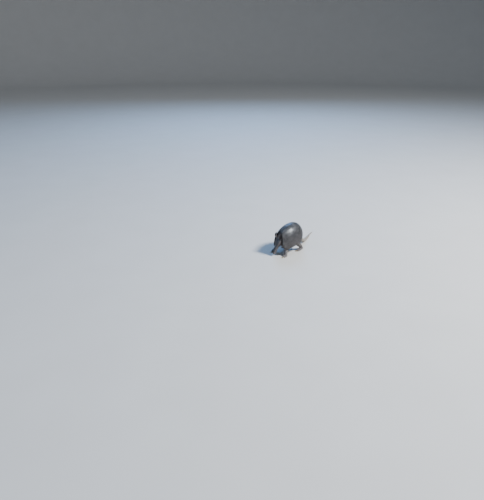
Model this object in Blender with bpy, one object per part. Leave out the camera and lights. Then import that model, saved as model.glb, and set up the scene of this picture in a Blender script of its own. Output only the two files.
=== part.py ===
"""A nine-banded armadillo, life size and still, standing with its head lowered to the ground.

Metres, +Z up. The animal faces -Y and its left side is +X. It stands on z = 0, and the origin is the
middle of its footprint. Flesh, shell plates, eyes and claws are separate solids, GAP apart.
"""

import math

import bmesh
import bpy
from mathutils import Matrix, Vector

GAP = 0.0003  # between solids that meet
GROW = 0.0004  # how much larger a cutter is than the solid that it stands for
SHARP = math.radians(40)  # edges that bend more than this are drawn sharp
ALONG = 0.01  # the share of a limb or tail over which its direction is taken

# Shell: an arch that travels from the nape to the tail. Each row is the place along it, the y and z of
# the arch's foot, its lean towards the tail in degrees, its half width, its height, and the angle from
# the top at which its rim ends.
SHELL = (
    (0.00, -0.134, 0.060, 0, 0.0375, 0.0860, 102),
    (0.10, -0.115, 0.062, 1, 0.0510, 0.0990, 101),
    (0.22, -0.089, 0.064, 2, 0.0635, 0.1120, 99),
    (0.38, -0.056, 0.066, 3, 0.0725, 0.1230, 95),
    (0.52, -0.028, 0.067, 5, 0.0760, 0.1280, 93),
    (0.66, -0.002, 0.067, 11, 0.0770, 0.1300, 92),
    (0.78, 0.018, 0.065, 21, 0.0750, 0.1230, 91),
    (0.89, 0.032, 0.062, 33, 0.0685, 0.1040, 91),
    (1.00, 0.046, 0.056, 50, 0.0535, 0.0750, 90),
)
PLATE = 0.003  # thickness of the shell
UNDER = 0.0009  # between the shell and the flesh under it
BANDS = 9
BANDS_FROM, BANDS_TO = 0.30, 0.66  # where the movable bands begin and end along the shell
BAND_STEP = 0.0010  # each band's back edge stands this far above the next band
BAND_GAP = 0.0016  # along the shell, between one plate and the next
ARCH_STEPS = 20  # facets from rim to rim
SHIELD_ROWS = 7
NAPE_NOTCH, TAIL_NOTCH = 0.11, 0.035  # how far the shield edges are cut back, along the shell
NOTCH_WIDTH = 0.46  # as a share of the way from the top to the rim
CORNER, CORNER_POWER = 0.10, 6  # how far the shields' lower corners are rounded off, and how tightly

# Trunk: the flesh inside the shell. Each row is the place along the shell, the size of the section and
# the height of its underside.
TRUNK = (
    (0.175, 0.50, 0.058),
    (0.195, 0.74, 0.050),
    (0.235, 0.92, 0.044),
    (0.300, 1.00, 0.040),
    (0.380, 1.00, 0.040),
    (0.520, 1.00, 0.041),
    (0.670, 1.00, 0.043),
    (0.800, 1.00, 0.046),
    (0.900, 1.00, 0.049),
    (0.950, 0.90, 0.051),
    (0.980, 0.68, 0.054),
)
TRUNK_SIDES = 26

# Head: sections along its axis. Each row is the distance from the back of the head, the half width, and
# the distances from the axis to the crown and to the throat.
HEAD = (
    (0.000, 0.0205, 0.0185, 0.0205),
    (0.014, 0.0246, 0.0203, 0.0222),
    (0.032, 0.0250, 0.0200, 0.0214),
    (0.049, 0.0226, 0.0178, 0.0200),
    (0.068, 0.0150, 0.0136, 0.0134),
    (0.088, 0.0107, 0.0102, 0.0098),
    (0.108, 0.0087, 0.0082, 0.0078),
    (0.118, 0.0083, 0.0075, 0.0070),
    (0.122, 0.0064, 0.0056, 0.0052),
)
HEAD_BACK = Vector((0.001, -0.1110, 0.1235))
HEAD_PITCH, HEAD_TURN = math.radians(62), math.radians(5)  # down, and towards the animal's right
HEAD_LENGTH = 0.122
HEAD_RINGS, HEAD_SIDES = 12, 18
NECK_FROM, NECK_UP = Vector((0.0, -0.088, 0.117)), Vector((0.0, -0.2, 0.98))
NECK_WIDTH, NECK_HEIGHT = 0.045, 0.045
NECK_BEND = 0.004  # how far the neck's middle bows up and back

CROWN_FROM, CROWN_TO, CROWN_BOW = 0.020, 0.068, 0.004  # the head shield, and how its ends are curved
CROWN_SPREAD, CROWN_NARROWS = 60, (0.45, 0.20)  # its half spread in degrees, and its taper
CROWN_PLATE = 0.0012
CROWN_FACETS = (10, 8)  # across it and along it

EAR_LENGTH, EAR_WIDTH, EAR_THICK = 0.041, 0.0145, 0.0014  # the width is half of the ear laid flat
EAR_WIDEST, EAR_SWELL = 0.50, 0.56  # where the ear is widest, and how far from there it would close
EAR_CURL = (112, 34)  # half the angle that it wraps round, in degrees, at its base and at its tip
EAR_ROUND, EAR_BOW = 0.16, 0.004  # how far its tip's corners are cut back, and how it bows forward
EAR_AT, EAR_ANGLE = 0.005, 46  # along the head, and degrees out from the crown
EAR_SINK = 0.006  # how deep its root is set in the head
EAR_UP, EAR_FACES = Vector((0.20, -0.06, 1)), Vector((0.62, -1, 0))  # the left ear's directions
EAR_FACETS = (8, 6)
EYE_RADIUS, EYE_AT, EYE_ANGLE, EYE_SINK = 0.0042, 0.0445, 70, 0.0024

# Limbs of the left side: rows of x, y, z, half width and half depth.
FORELEG = (
    (0.031, -0.080, 0.080, 0.0185, 0.0230),
    (0.033, -0.083, 0.060, 0.0155, 0.0185),
    (0.0395, -0.092, 0.041, 0.0125, 0.0140),
    (0.051, -0.106, 0.024, 0.0110, 0.0120),
    (0.055, -0.115, 0.013, 0.0118, 0.0105),
)
HINDLEG = (
    (0.036, 0.018, 0.082, 0.0220, 0.0270),
    (0.045, 0.012, 0.061, 0.0190, 0.0220),
    (0.052, 0.022, 0.043, 0.0145, 0.0160),
    (0.054, 0.038, 0.028, 0.0112, 0.0122),
    (0.055, 0.046, 0.015, 0.0112, 0.0115),
)
LEG_RINGS, LEG_SIDES = 7, 12
FOREFOOT = (
    (0.056, -0.105, 0.0080, 0.0070, 0.0070),
    (0.056, -0.118, 0.0090, 0.0135, 0.0100),
    (0.057, -0.130, 0.0068, 0.0135, 0.0075),
    (0.057, -0.135, 0.0060, 0.0105, 0.0060),
)
HINDFOOT = (
    (0.055, 0.060, 0.0080, 0.0055, 0.0060),
    (0.055, 0.053, 0.0100, 0.0105, 0.0105),
    (0.056, 0.029, 0.0085, 0.0120, 0.0090),
    (0.057, 0.012, 0.0070, 0.0145, 0.0080),
    (0.057, 0.004, 0.0060, 0.0120, 0.0065),
)
FOOT_RINGS, FOOT_SIDES, TOE_SIDES, CLAW_SIDES = 5, 10, 6, 6
# Toes, from the inner one out: x beside the foot's middle, y of the tip past the foot's end, half width,
# claw length and how far the toe turns out in degrees.
FORE_TOES = (
    (-0.0115, 0.005, 0.0040, 0.0125, -10),
    (-0.0045, -0.009, 0.0050, 0.0205, -3),
    (0.0050, -0.008, 0.0048, 0.0190, 5),
    (0.0120, 0.006, 0.0038, 0.0120, 14),
)
HIND_TOES = (
    (-0.0130, 0.006, 0.0036, 0.0085, -12),
    (-0.0072, -0.005, 0.0044, 0.0125, -5),
    (0.0000, -0.009, 0.0047, 0.0140, 0),
    (0.0073, -0.006, 0.0044, 0.0125, 6),
    (0.0132, 0.005, 0.0036, 0.0085, 14),
)
TOE_LENGTH, TOE_RISE = 0.017, 0.0035  # the rise is towards its root
TOE_BULGE = (0.95, 1.05, 1.00, 0.80)  # its width from root to tip
TOE_TALL, CLAW_TALL = 1.10, 1.05  # height over width
CLAW_TAPER = (0.62, 0.58, 0.40, 0.10)  # shares of the toe's width from root to point
CLAW_SINK = 0.0025  # how deep a claw sits in its toe
CLAW_CLEAR = 0.0012  # the height of its point above the floor
FORE_ARCH, HIND_ARCH = 0.0035, 0.0020  # how far the claws curve down
FLOOR_SINK = 0.002  # how deep the feet are modelled, before the floor trims them to their flats
TOE_SINK = 0.0006
# How far each limb is set back from the table's place, so that the stance isn't mirrored.
SET_BACK = {"foreleg_left": 0.0, "foreleg_right": 0.016, "hindleg_left": 0.008, "hindleg_right": -0.010}

# Tail: rows of the share of its length, x, y, z of the middle, and radius.
TAIL = (
    (0.00, 0.000, 0.052, 0.0900, 0.0200),
    (0.10, 0.000, 0.086, 0.0730, 0.0185),
    (0.19, 0.000, 0.113, 0.0500, 0.0160),
    (0.28, -0.003, 0.137, 0.0280, 0.0134),
    (0.36, -0.010, 0.167, 0.0140, 0.0112),
    (0.52, -0.026, 0.216, 0.0088, 0.0088),
    (0.68, -0.045, 0.267, 0.0067, 0.0067),
    (0.84, -0.066, 0.317, 0.0046, 0.0046),
    (1.00, -0.080, 0.368, 0.0020, 0.0020),
)
TAIL_PARTS = {"tail_root": (0.00, 0.30), "tail_middle": (0.30, 0.60), "tail_end": (0.60, 1.00)}
TAIL_LENGTH = 0.33
RINGED_TO, TAIL_RINGS = 0.60, 14  # the armour rings run this far down the tail
RING_FLARE = 0.0006
TAIL_SIDES, TAIL_END_RINGS = 12, 8

COLOURS = {
    "shell": ((0.085, 0.080, 0.082), 0.35),
    "head_shield": ((0.105, 0.098, 0.103), 0.45),
    "skin": ((0.150, 0.118, 0.110), 0.55),
    "ear": ((0.055, 0.045, 0.045), 0.60),
    "tail": ((0.340, 0.312, 0.275), 0.42),
    "eye": ((0.008, 0.006, 0.005), 0.08),
    "claw": ((0.330, 0.260, 0.170), 0.35),
}


def clear_scene():
    for thing in list(bpy.data.objects):
        bpy.data.objects.remove(thing)


def material(name):
    colour, roughness = COLOURS[name]
    made = bpy.data.materials.get(name) or bpy.data.materials.new(name)
    made.use_nodes = True
    shader = made.node_tree.nodes["Principled BSDF"]
    shader.inputs["Base Color"].default_value = (*colour, 1)
    shader.inputs["Roughness"].default_value = roughness
    shader.inputs["Metallic"].default_value = 0
    return made


def node(name, bm, finish):
    """An object with the mesh of bm, its faces pointing out."""
    bmesh.ops.recalc_face_normals(bm, faces=bm.faces)
    if bm.calc_volume(signed=True) < 0:
        bmesh.ops.reverse_faces(bm, faces=bm.faces)
    mesh = bpy.data.meshes.new(name)
    bm.to_mesh(mesh)
    bm.free()
    mesh.shade_smooth()
    mesh.set_sharp_from_angle(angle=SHARP)
    mesh.materials.append(material(finish))
    made = bpy.data.objects.new(name, mesh)
    bpy.context.scene.collection.objects.link(made)
    return made


def hide(guide):
    """Keeps a cutter or guide out of the model."""
    guide.hide_render = True
    guide.display_type = "WIRE"
    return guide


def cutter(source):
    """A hidden copy of a solid, a little larger, to cut its neighbours with."""
    made = hide(bpy.data.objects.new("cut_" + source.name, source.data))
    bpy.context.scene.collection.objects.link(made)
    swell = made.modifiers.new("swell", "DISPLACE")
    swell.strength = GROW
    swell.mid_level = 0
    return made


def combine(target, operation, *others):
    for other in others:
        change = target.modifiers.new(operation.lower() + " " + other.name, "BOOLEAN")
        change.operation = operation
        change.object = other


def cut(target, *cutters):
    combine(target, "DIFFERENCE", *cutters)


def smooth_row(table, place):
    """The other columns of a table where its first column is place, on a smooth curve through its rows."""
    known = [row[0] for row in table]
    i = max(0, min(len(table) - 2, sum(k <= place for k in known) - 1))
    before, a, b, after = (table[max(0, min(len(table) - 1, i + k))] for k in (-1, 0, 1, 2))
    span = b[0] - a[0]
    s = (place - a[0]) / span
    values = []
    for p, q, r, u in zip(before[1:], a[1:], b[1:], after[1:]):
        slope_a = (r - p) / (b[0] - before[0]) * span
        slope_b = (u - q) / (after[0] - a[0]) * span
        values.append(
            q * (1 + 2 * s) * (1 - s) ** 2
            + slope_a * s * (1 - s) ** 2
            + r * s**2 * (3 - 2 * s)
            + slope_b * s**2 * (s - 1)
        )
    return values


def direction(table, place):
    """The way that a table's x, y and z run where its first column is place."""
    ahead = smooth_row(table, min(1, place + ALONG))[:3]
    behind = smooth_row(table, max(0, place - ALONG))[:3]
    return (Vector(ahead) - Vector(behind)).normalized()


def spaced(first, last, count):
    return [first + (last - first) * i / (count - 1) for i in range(count)]


def loft(rings):
    """A closed mesh through rings of points, made by extruding a cap from each ring to the next."""
    bm = bmesh.new()
    step = bm.verts.layers.int.new("step")
    start = bmesh.ops.create_circle(bm, cap_ends=True, segments=len(rings[0]), radius=1)["verts"]
    for number, vert in enumerate(start):
        vert[step] = number
    cap = bm.faces[:][0]
    for number, ring in enumerate(rings):
        if number:
            made = bmesh.ops.extrude_face_region(bm, geom=[cap, *cap.edges])["geom"]
            cap = next(part for part in made if isinstance(part, bmesh.types.BMFace))
        for vert in cap.verts:
            vert.co = ring[vert[step]]
    return bm


def oval(middle, side, up, width, height, count):
    """Points round an oval, counted from its top."""
    points = []
    for i in range(count):
        angle = 2 * math.pi * i / count
        points.append(middle + side * width * math.sin(angle) + up * height * math.cos(angle))
    return points


def thick_sheet(columns, rows, place):
    """A closed sheet. place(across, along, face) gives the point at across from -1 to 1 and along from 0
    to 1, on face 0, the outside, or face 1, the inside."""
    bm = bmesh.new()
    bmesh.ops.create_grid(bm, x_segments=columns, y_segments=rows, size=0.5)
    outside = bm.verts[:]
    made = bmesh.ops.extrude_face_region(bm, geom=bm.faces[:], use_keep_orig=True)["geom"]
    inside = [part for part in made if isinstance(part, bmesh.types.BMVert)]
    for face, verts in enumerate((outside, inside)):
        for vert in verts:
            vert.co = place(vert.co.x * 2, vert.co.y + 0.5, face)
    return bm


def shell_point(place, angle, depth=0.0):
    """The point of the shell at a place along it and an angle from its top, depth under its surface."""
    y, z, lean, width, height, _ = smooth_row(SHELL, place)
    up = (height - depth) * math.cos(angle)
    lean = math.radians(lean)
    return Vector(((width - depth) * math.sin(angle), y + up * math.sin(lean), z + up * math.cos(lean)))


def shell_plate(name, front, back, rows, tuck=0.0):
    """One plate of the shell. front and back give its edges along the shell at a share across it, and
    its front edge is tucked under by tuck."""

    def place(across, along, face):
        at = front(across) + (back(across) - front(across)) * along
        rim = math.radians(smooth_row(SHELL, at)[-1])
        return shell_point(at, across * rim, tuck * (1 - along) + face * (PLATE - tuck))

    return node(name, thick_sheet(ARCH_STEPS, rows, place), "shell")


def notch(across, depth):
    return depth * math.exp(-((across / NOTCH_WIDTH) ** 2))


def corner(across):
    return CORNER * abs(across) ** CORNER_POWER


def shell():
    """The shoulder shield, the bands and the hip shield, from front to back."""
    shoulder = shell_plate(
        "shoulder_shield",
        lambda across: notch(across, NAPE_NOTCH) + corner(across),
        lambda across: BANDS_FROM - BAND_GAP,
        SHIELD_ROWS,
    )
    pitch = (BANDS_TO - BANDS_FROM) / BANDS
    for number in range(BANDS):
        front = BANDS_FROM + number * pitch
        back = front + pitch - BAND_GAP
        shell_plate(
            f"band_{number + 1}",
            lambda across, at=front: at,
            lambda across, at=back: at,
            1,
            BAND_STEP,
        )
    hip = shell_plate(
        "hip_shield",
        lambda across: BANDS_TO,
        lambda across: 1 - notch(across, TAIL_NOTCH) - corner(across),
        SHIELD_ROWS,
    )
    return shoulder, hip


def trunk():
    """The flesh under the shell: the shell's own arch above, a flatter belly below."""
    rings = []
    for place, size, belly in TRUNK:
        foot = smooth_row(SHELL, place)
        middle = Vector((0, foot[0], foot[1]))
        ring = []
        for i in range(TRUNK_SIDES):
            angle = 2 * math.pi * i / TRUNK_SIDES
            point = shell_point(place, angle, PLATE + UNDER)
            if math.cos(angle) < 0:
                point.y = foot[0]
                point.z = foot[1] + (foot[1] - belly) * math.cos(angle)
            ring.append(middle + (point - middle) * size)
        rings.append(ring)
    return node("trunk", loft(rings), "skin")


def head_axes():
    """The head's side, crown and forward directions."""
    turn = Matrix.Rotation(-HEAD_TURN, 3, "Z")
    forward = turn @ Vector((0, -math.cos(HEAD_PITCH), -math.sin(HEAD_PITCH)))
    side = turn @ Vector((1, 0, 0))
    return side, forward.cross(side), forward


def head_point(place, angle, out=0.0):
    """The point of the head at a distance from its back and an angle from the crown, out of its surface."""
    side, crown, forward = head_axes()
    width, top, bottom = smooth_row(HEAD, place)
    height = math.cos(angle) * ((top if math.cos(angle) > 0 else bottom) + out)
    return HEAD_BACK + forward * place + side * (width + out) * math.sin(angle) + crown * height


def head_ring(place):
    return [head_point(place, 2 * math.pi * i / HEAD_SIDES) for i in range(HEAD_SIDES)]


def head():
    return node("head", loft([head_ring(s) for s in spaced(0, HEAD_LENGTH, HEAD_RINGS)]), "skin")


def neck():
    """From inside the trunk to the back of the head, whose shape its last ring takes."""
    _, crown, forward = head_axes()
    end = [point - forward * GAP for point in head_ring(0)]
    start = oval(NECK_FROM, Vector((1, 0, 0)), NECK_UP.normalized(), NECK_WIDTH, NECK_HEIGHT, HEAD_SIDES)
    middle = [a.lerp(b, 0.5) + (crown - forward) * NECK_BEND for a, b in zip(start, end)]
    return node("neck", loft([start, middle, end]), "skin")


def head_shield():
    """The plate of small scales over the brow, narrowing towards the snout."""

    def place(across, along, face):
        bow = CROWN_BOW * (1 - across**2) * (along - 0.5)
        at = CROWN_FROM + (CROWN_TO - CROWN_FROM) * along + bow
        narrow = CROWN_NARROWS[0] * along + CROWN_NARROWS[1] * along**3
        spread = math.radians(CROWN_SPREAD * (1 - narrow))
        return head_point(at, across * spread, GROW + CROWN_PLATE * (1 - face))

    return node("head_shield", thick_sheet(*CROWN_FACETS, place), "head_shield")


def ear(name, sign):
    """A cupped leaf, rolled at its base and open towards the front and side."""
    mirror = Vector((sign, 1, 1))
    upward = (EAR_UP * mirror).normalized()
    facing = EAR_FACES * mirror
    facing = (facing - upward * facing.dot(upward)).normalized()
    sideways = upward.cross(facing)
    root = head_point(EAR_AT, sign * math.radians(EAR_ANGLE)) - upward * EAR_SINK

    def place(across, along, face):
        half = EAR_WIDTH * (1 - abs((along - EAR_WIDEST) / EAR_SWELL) ** 3) ** 0.5
        curl = math.radians(EAR_CURL[0] + (EAR_CURL[1] - EAR_CURL[0]) * along)
        radius = half / curl
        turn = across * curl
        deep = radius + (face - 0.5) * EAR_THICK
        return (
            root
            + upward * (EAR_LENGTH * along * (1 - EAR_ROUND * (across * along) ** 2))
            + sideways * deep * math.sin(turn)
            + facing * (radius - deep * math.cos(turn))
            + facing * EAR_BOW * math.sin(math.pi * along)
        )

    return node(name, thick_sheet(*EAR_FACETS, place), "ear")


def ball(name, middle, radius, finish):
    bm = bmesh.new()
    bmesh.ops.create_icosphere(bm, subdivisions=2, radius=radius, matrix=Matrix.Translation(middle))
    return node(name, bm, finish)


def head_parts(body):
    """The head with all that it carries, and the neck, which it gives back."""
    skull = head()
    throat = neck()
    head_shield()
    skull_cut = cutter(skull)
    cut(body, skull_cut)
    for name, sign in (("left", 1), ("right", -1)):
        cut(ear("ear_" + name, sign), skull_cut)
        angle = sign * math.radians(EYE_ANGLE)
        eye_middle = head_point(EYE_AT, angle, -EYE_SINK)
        ball("eye_" + name, eye_middle, EYE_RADIUS, "eye")
        cut(skull, hide(ball("cut_socket_" + name, eye_middle, EYE_RADIUS + GROW, "eye")))
    return throat


def limb_rings(table, sign, back, count, sides):
    """Rings round a limb that runs through the rows of its table, on one side of the body."""
    rows = [(i / (len(table) - 1), *row) for i, row in enumerate(table)]
    across = Vector((1, 0, 0))
    rings = []
    for share in spaced(0, 1, count):
        x, y, z, width, depth = smooth_row(rows, share)
        deep = across.cross(direction(rows, share)).normalized()
        rings.append(oval(Vector((sign * x, y + back, z)), across, deep, width, depth, sides))
    return rings


def taper(start, way, radii, sides, drop=0.0):
    """Rings along a short straight or drooping stem, with a width and a height for each."""
    side = way.cross(Vector((0, 0, 1))).normalized()
    rings = []
    for i, radius in enumerate(radii):
        share = i / (len(radii) - 1)
        middle = start + way * share - Vector((0, 0, drop * share**2))
        rings.append(oval(middle, side, Vector((0, 0, 1)), *radius, sides))
    return rings


def toe(name, tip, way, width):
    start = tip - way * TOE_LENGTH + Vector((0, 0, TOE_RISE))
    sizes = [(width * share, width * share * TOE_TALL) for share in TOE_BULGE]
    return hide(node("cut_toe_" + name, loft(taper(start, tip - start, sizes, TOE_SIDES)), "skin"))


def claw(name, tip, way, width, length, arch):
    root = tip - way * CLAW_SINK
    reach = way * length + Vector((0, 0, CLAW_CLEAR - root.z + arch))
    sizes = [(width * share, width * share * CLAW_TALL) for share in CLAW_TAPER]
    return node("claw_" + name, loft(taper(root, reach, sizes, CLAW_SIDES, arch)), "claw")


def foot(name, back, table, toes, arch, sign, floor):
    """A foot with its toes, and each toe's claw as a solid of its own."""
    sunk = [(x, y, z - FLOOR_SINK, width, depth) for x, y, z, width, depth in table]
    sole = node(name, loft(limb_rings(sunk, sign, back, FOOT_RINGS, FOOT_SIDES)), "skin")
    end_x, end_y = table[-1][:2]
    for number, (x, y, width, length, out) in enumerate(toes, 1):
        tip = Vector((sign * (end_x + x), end_y + back + y, width * TOE_TALL - TOE_SINK))
        way = Matrix.Rotation(sign * math.radians(out), 3, "Z") @ Vector((0, -1, 0))
        combine(sole, "UNION", toe(f"{name}_{number}", tip, way, width))
        cut(sole, cutter(claw(f"{name}_{number}", tip, way, width, length, arch)))
    cut(sole, floor)
    return sole


def floor_block():
    bm = bmesh.new()
    bmesh.ops.create_cube(bm, size=1, matrix=Matrix.Translation((0, 0, -0.5)))
    return hide(node("cut_floor", bm, "skin"))


def limbs(trunk_cut):
    floor = floor_block()
    kinds = (
        ("foreleg", "forefoot", FORELEG, FOREFOOT, FORE_TOES, FORE_ARCH),
        ("hindleg", "hindfoot", HINDLEG, HINDFOOT, HIND_TOES, HIND_ARCH),
    )
    for leg_kind, foot_kind, leg_table, foot_table, toes, arch in kinds:
        for name, sign in (("left", 1), ("right", -1)):
            leg_name = f"{leg_kind}_{name}"
            back = SET_BACK[leg_name]
            upper = node(leg_name, loft(limb_rings(leg_table, sign, back, LEG_RINGS, LEG_SIDES)), "skin")
            sole = foot(f"{foot_kind}_{name}", back, foot_table, toes, arch, sign, floor)
            cut(upper, trunk_cut, cutter(sole))


def tail_ring(share, flare=0.0):
    """A ring round the tail, flat where it lies on the ground."""
    *middle, radius = smooth_row(TAIL, share)
    way = direction(TAIL, share)
    side = way.cross(Vector((0, 0, 1))).normalized()
    ring = oval(Vector(middle), side, side.cross(way), radius + flare, radius + flare, TAIL_SIDES)
    for point in ring:
        point.z = max(0, point.z)
    return ring


def tail_part(name, first, last):
    """A length of the tail. Each armour ring flares towards its back edge, and the end is smooth."""
    pitch = RINGED_TO / TAIL_RINGS
    inset = GAP / TAIL_LENGTH
    if first < RINGED_TO:
        rings = []
        for number in range(round(first / pitch), round(last / pitch)):
            rings.append(tail_ring(number * pitch + inset))
            rings.append(tail_ring((number + 1) * pitch - inset, RING_FLARE))
    else:
        rings = [tail_ring(share) for share in spaced(first + inset, last, TAIL_END_RINGS)]
    return node(name, loft(rings), "tail")


def tail(trunk_cut, hip_cut):
    for name, (first, last) in TAIL_PARTS.items():
        part = tail_part(name, first, last)
        if first == 0:
            cut(part, trunk_cut, hip_cut)


def centre_on_floor():
    """Moves everything so that the origin is the middle of the animal's footprint."""
    bpy.context.view_layer.update()
    graph = bpy.context.evaluated_depsgraph_get()
    corners = []
    for thing in bpy.data.objects:
        if not thing.hide_render:
            shown = thing.evaluated_get(graph)
            corners += [shown.matrix_world @ Vector(corner) for corner in shown.bound_box]
    lowest = Vector([min(corner[k] for corner in corners) for k in range(3)])
    highest = Vector([max(corner[k] for corner in corners) for k in range(3)])
    middle = (lowest + highest) / 2
    for thing in bpy.data.objects:
        thing.location = (-middle.x, -middle.y, 0)


def main():
    clear_scene()
    shoulder, hip = shell()
    body = trunk()
    trunk_cut, shoulder_cut, hip_cut = cutter(body), cutter(shoulder), cutter(hip)
    cut(head_parts(body), trunk_cut, shoulder_cut)
    limbs(trunk_cut)
    tail(trunk_cut, hip_cut)
    centre_on_floor()


main()
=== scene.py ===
import itertools
import math
import random

import bmesh
import bpy
from mathutils import Matrix, Vector, noise
from mathutils.kdtree import KDTree


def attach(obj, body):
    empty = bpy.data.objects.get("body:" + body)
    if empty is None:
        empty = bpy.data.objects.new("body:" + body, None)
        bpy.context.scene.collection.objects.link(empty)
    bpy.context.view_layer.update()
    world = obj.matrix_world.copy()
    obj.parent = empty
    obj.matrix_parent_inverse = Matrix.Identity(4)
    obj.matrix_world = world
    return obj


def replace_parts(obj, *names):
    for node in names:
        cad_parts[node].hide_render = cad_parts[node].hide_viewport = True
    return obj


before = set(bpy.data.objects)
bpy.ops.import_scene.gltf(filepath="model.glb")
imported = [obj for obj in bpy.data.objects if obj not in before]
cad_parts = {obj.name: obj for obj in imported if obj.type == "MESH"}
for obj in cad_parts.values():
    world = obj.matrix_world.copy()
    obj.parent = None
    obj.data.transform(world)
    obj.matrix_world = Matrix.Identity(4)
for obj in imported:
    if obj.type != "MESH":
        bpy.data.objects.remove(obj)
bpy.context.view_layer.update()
middle = Vector((0.00249, -0.09777, 0))  # from the tables' origin to the frame's
dice = random.Random(9)
upward = Vector((0, 0, 1))

# Each row: place, y and z of the arch's foot, lean in degrees, half width, height, rim angle.
shellTable = (
    (0.00, -0.134, 0.060, 0, 0.0375, 0.0860, 102),
    (0.10, -0.115, 0.062, 1, 0.0510, 0.0990, 101),
    (0.22, -0.089, 0.064, 2, 0.0635, 0.1120, 99),
    (0.38, -0.056, 0.066, 3, 0.0725, 0.1230, 95),
    (0.52, -0.028, 0.067, 5, 0.0760, 0.1280, 93),
    (0.66, -0.002, 0.067, 11, 0.0770, 0.1300, 92),
    (0.78, 0.018, 0.065, 21, 0.0750, 0.1230, 91),
    (0.89, 0.032, 0.062, 33, 0.0685, 0.1040, 91),
    (1.00, 0.046, 0.056, 50, 0.0535, 0.0750, 90),
)
# Each row: place along the shell, size of the section, height of the belly.
trunkTable = (
    (0.175, 0.50, 0.058),
    (0.195, 0.74, 0.050),
    (0.235, 0.92, 0.044),
    (0.300, 1.00, 0.040),
    (0.380, 1.00, 0.040),
    (0.520, 1.00, 0.041),
    (0.670, 1.00, 0.043),
    (0.800, 1.00, 0.046),
    (0.900, 1.00, 0.049),
    (0.950, 0.90, 0.051),
    (0.980, 0.68, 0.054),
)
# Each row: distance from the back of the head, half width, height of the crown, depth of the throat.
headTable = (
    (0.000, 0.0205, 0.0185, 0.0205),
    (0.014, 0.0246, 0.0203, 0.0222),
    (0.032, 0.0250, 0.0200, 0.0214),
    (0.049, 0.0226, 0.0178, 0.0200),
    (0.068, 0.0150, 0.0136, 0.0134),
    (0.088, 0.0107, 0.0102, 0.0098),
    (0.108, 0.0087, 0.0082, 0.0078),
    (0.118, 0.0083, 0.0075, 0.0070),
    (0.122, 0.0064, 0.0056, 0.0052),
)
# Each row: x, y, z, half width, half depth, for the left side.
limbTables = {
    "foreleg": (
        (0.031, -0.080, 0.080, 0.0185, 0.0230),
        (0.033, -0.083, 0.060, 0.0155, 0.0185),
        (0.0395, -0.092, 0.041, 0.0125, 0.0140),
        (0.051, -0.106, 0.024, 0.0110, 0.0120),
        (0.055, -0.115, 0.013, 0.0118, 0.0105),
    ),
    "hindleg": (
        (0.036, 0.018, 0.082, 0.0220, 0.0270),
        (0.045, 0.012, 0.061, 0.0190, 0.0220),
        (0.052, 0.022, 0.043, 0.0145, 0.0160),
        (0.054, 0.038, 0.028, 0.0112, 0.0122),
        (0.055, 0.046, 0.015, 0.0112, 0.0115),
    ),
    "forefoot": (
        (0.056, -0.105, 0.0080, 0.0070, 0.0070),
        (0.056, -0.118, 0.0090, 0.0135, 0.0100),
        (0.057, -0.130, 0.0068, 0.0135, 0.0075),
        (0.057, -0.135, 0.0060, 0.0105, 0.0060),
    ),
    "hindfoot": (
        (0.055, 0.060, 0.0080, 0.0055, 0.0060),
        (0.055, 0.053, 0.0100, 0.0105, 0.0105),
        (0.056, 0.029, 0.0085, 0.0120, 0.0090),
        (0.057, 0.012, 0.0070, 0.0145, 0.0080),
        (0.057, 0.004, 0.0060, 0.0120, 0.0065),
    ),
}
# Each row: x beside the foot's middle, y past its end, half width, claw length, turn out in degrees.
toeTables = {
    "forefoot": (
        (-0.0115, 0.005, 0.0040, 0.0125, -10),
        (-0.0045, -0.009, 0.0050, 0.0205, -3),
        (0.0050, -0.008, 0.0048, 0.0190, 5),
        (0.0120, 0.006, 0.0038, 0.0120, 14),
    ),
    "hindfoot": (
        (-0.0130, 0.006, 0.0036, 0.0085, -12),
        (-0.0072, -0.005, 0.0044, 0.0125, -5),
        (0.0000, -0.009, 0.0047, 0.0140, 0),
        (0.0073, -0.006, 0.0044, 0.0125, 6),
        (0.0132, 0.005, 0.0036, 0.0085, 14),
    ),
}
toeShares = (0.95, 1.05, 1.06, 1.04, 0.98, 0.86, 0.60)  # width along a toe
setBack = {"fore_left": 0.0, "fore_right": 0.016, "hind_left": 0.008, "hind_right": -0.010}
# Each row: share of the tail's length, x, y, z, radius.
tailTable = (
    (0.00, 0.000, 0.052, 0.0900, 0.0200),
    (0.10, 0.000, 0.086, 0.0730, 0.0185),
    (0.19, 0.000, 0.113, 0.0500, 0.0160),
    (0.28, -0.003, 0.137, 0.0280, 0.0134),
    (0.36, -0.010, 0.167, 0.0140, 0.0112),
    (0.52, -0.026, 0.216, 0.0088, 0.0088),
    (0.68, -0.045, 0.267, 0.0067, 0.0067),
    (0.84, -0.066, 0.317, 0.0046, 0.0046),
    (1.00, -0.080, 0.368, 0.0020, 0.0020),
)
sides = (("left", 1), ("right", -1))


def rowAt(table, place):
    known = [row[0] for row in table]
    i = max(0, min(len(table) - 2, sum(k <= place for k in known) - 1))
    before, a, b, after = (table[max(0, min(len(table) - 1, i + k))] for k in (-1, 0, 1, 2))
    span = b[0] - a[0]
    s = (place - a[0]) / span
    values = []
    for p, q, r, u in zip(before[1:], a[1:], b[1:], after[1:]):
        rise = (r - p) / (b[0] - before[0]) * span
        fall = (u - q) / (after[0] - a[0]) * span
        start = q * (1 + 2 * s) * (1 - s) ** 2 + rise * s * (1 - s) ** 2
        values.append(start + r * s**2 * (3 - 2 * s) + fall * s**2 * (s - 1))
    return values


def evenly(first, last, count):
    return [first + (last - first) * i / (count - 1) for i in range(count)]


def turns(count):
    return [2 * math.pi * i / count for i in range(count)]


def clamp(value):
    return max(0, min(1, value))


def ease(value):
    value = clamp(value)
    return value * value * (3 - 2 * value)


def spotAt(table, share):
    return Vector(rowAt(table, share)[:3])


def headingAt(table, share):
    return spotAt(table, min(1, share + 0.01)) - spotAt(table, max(0, share - 0.01))


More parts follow.
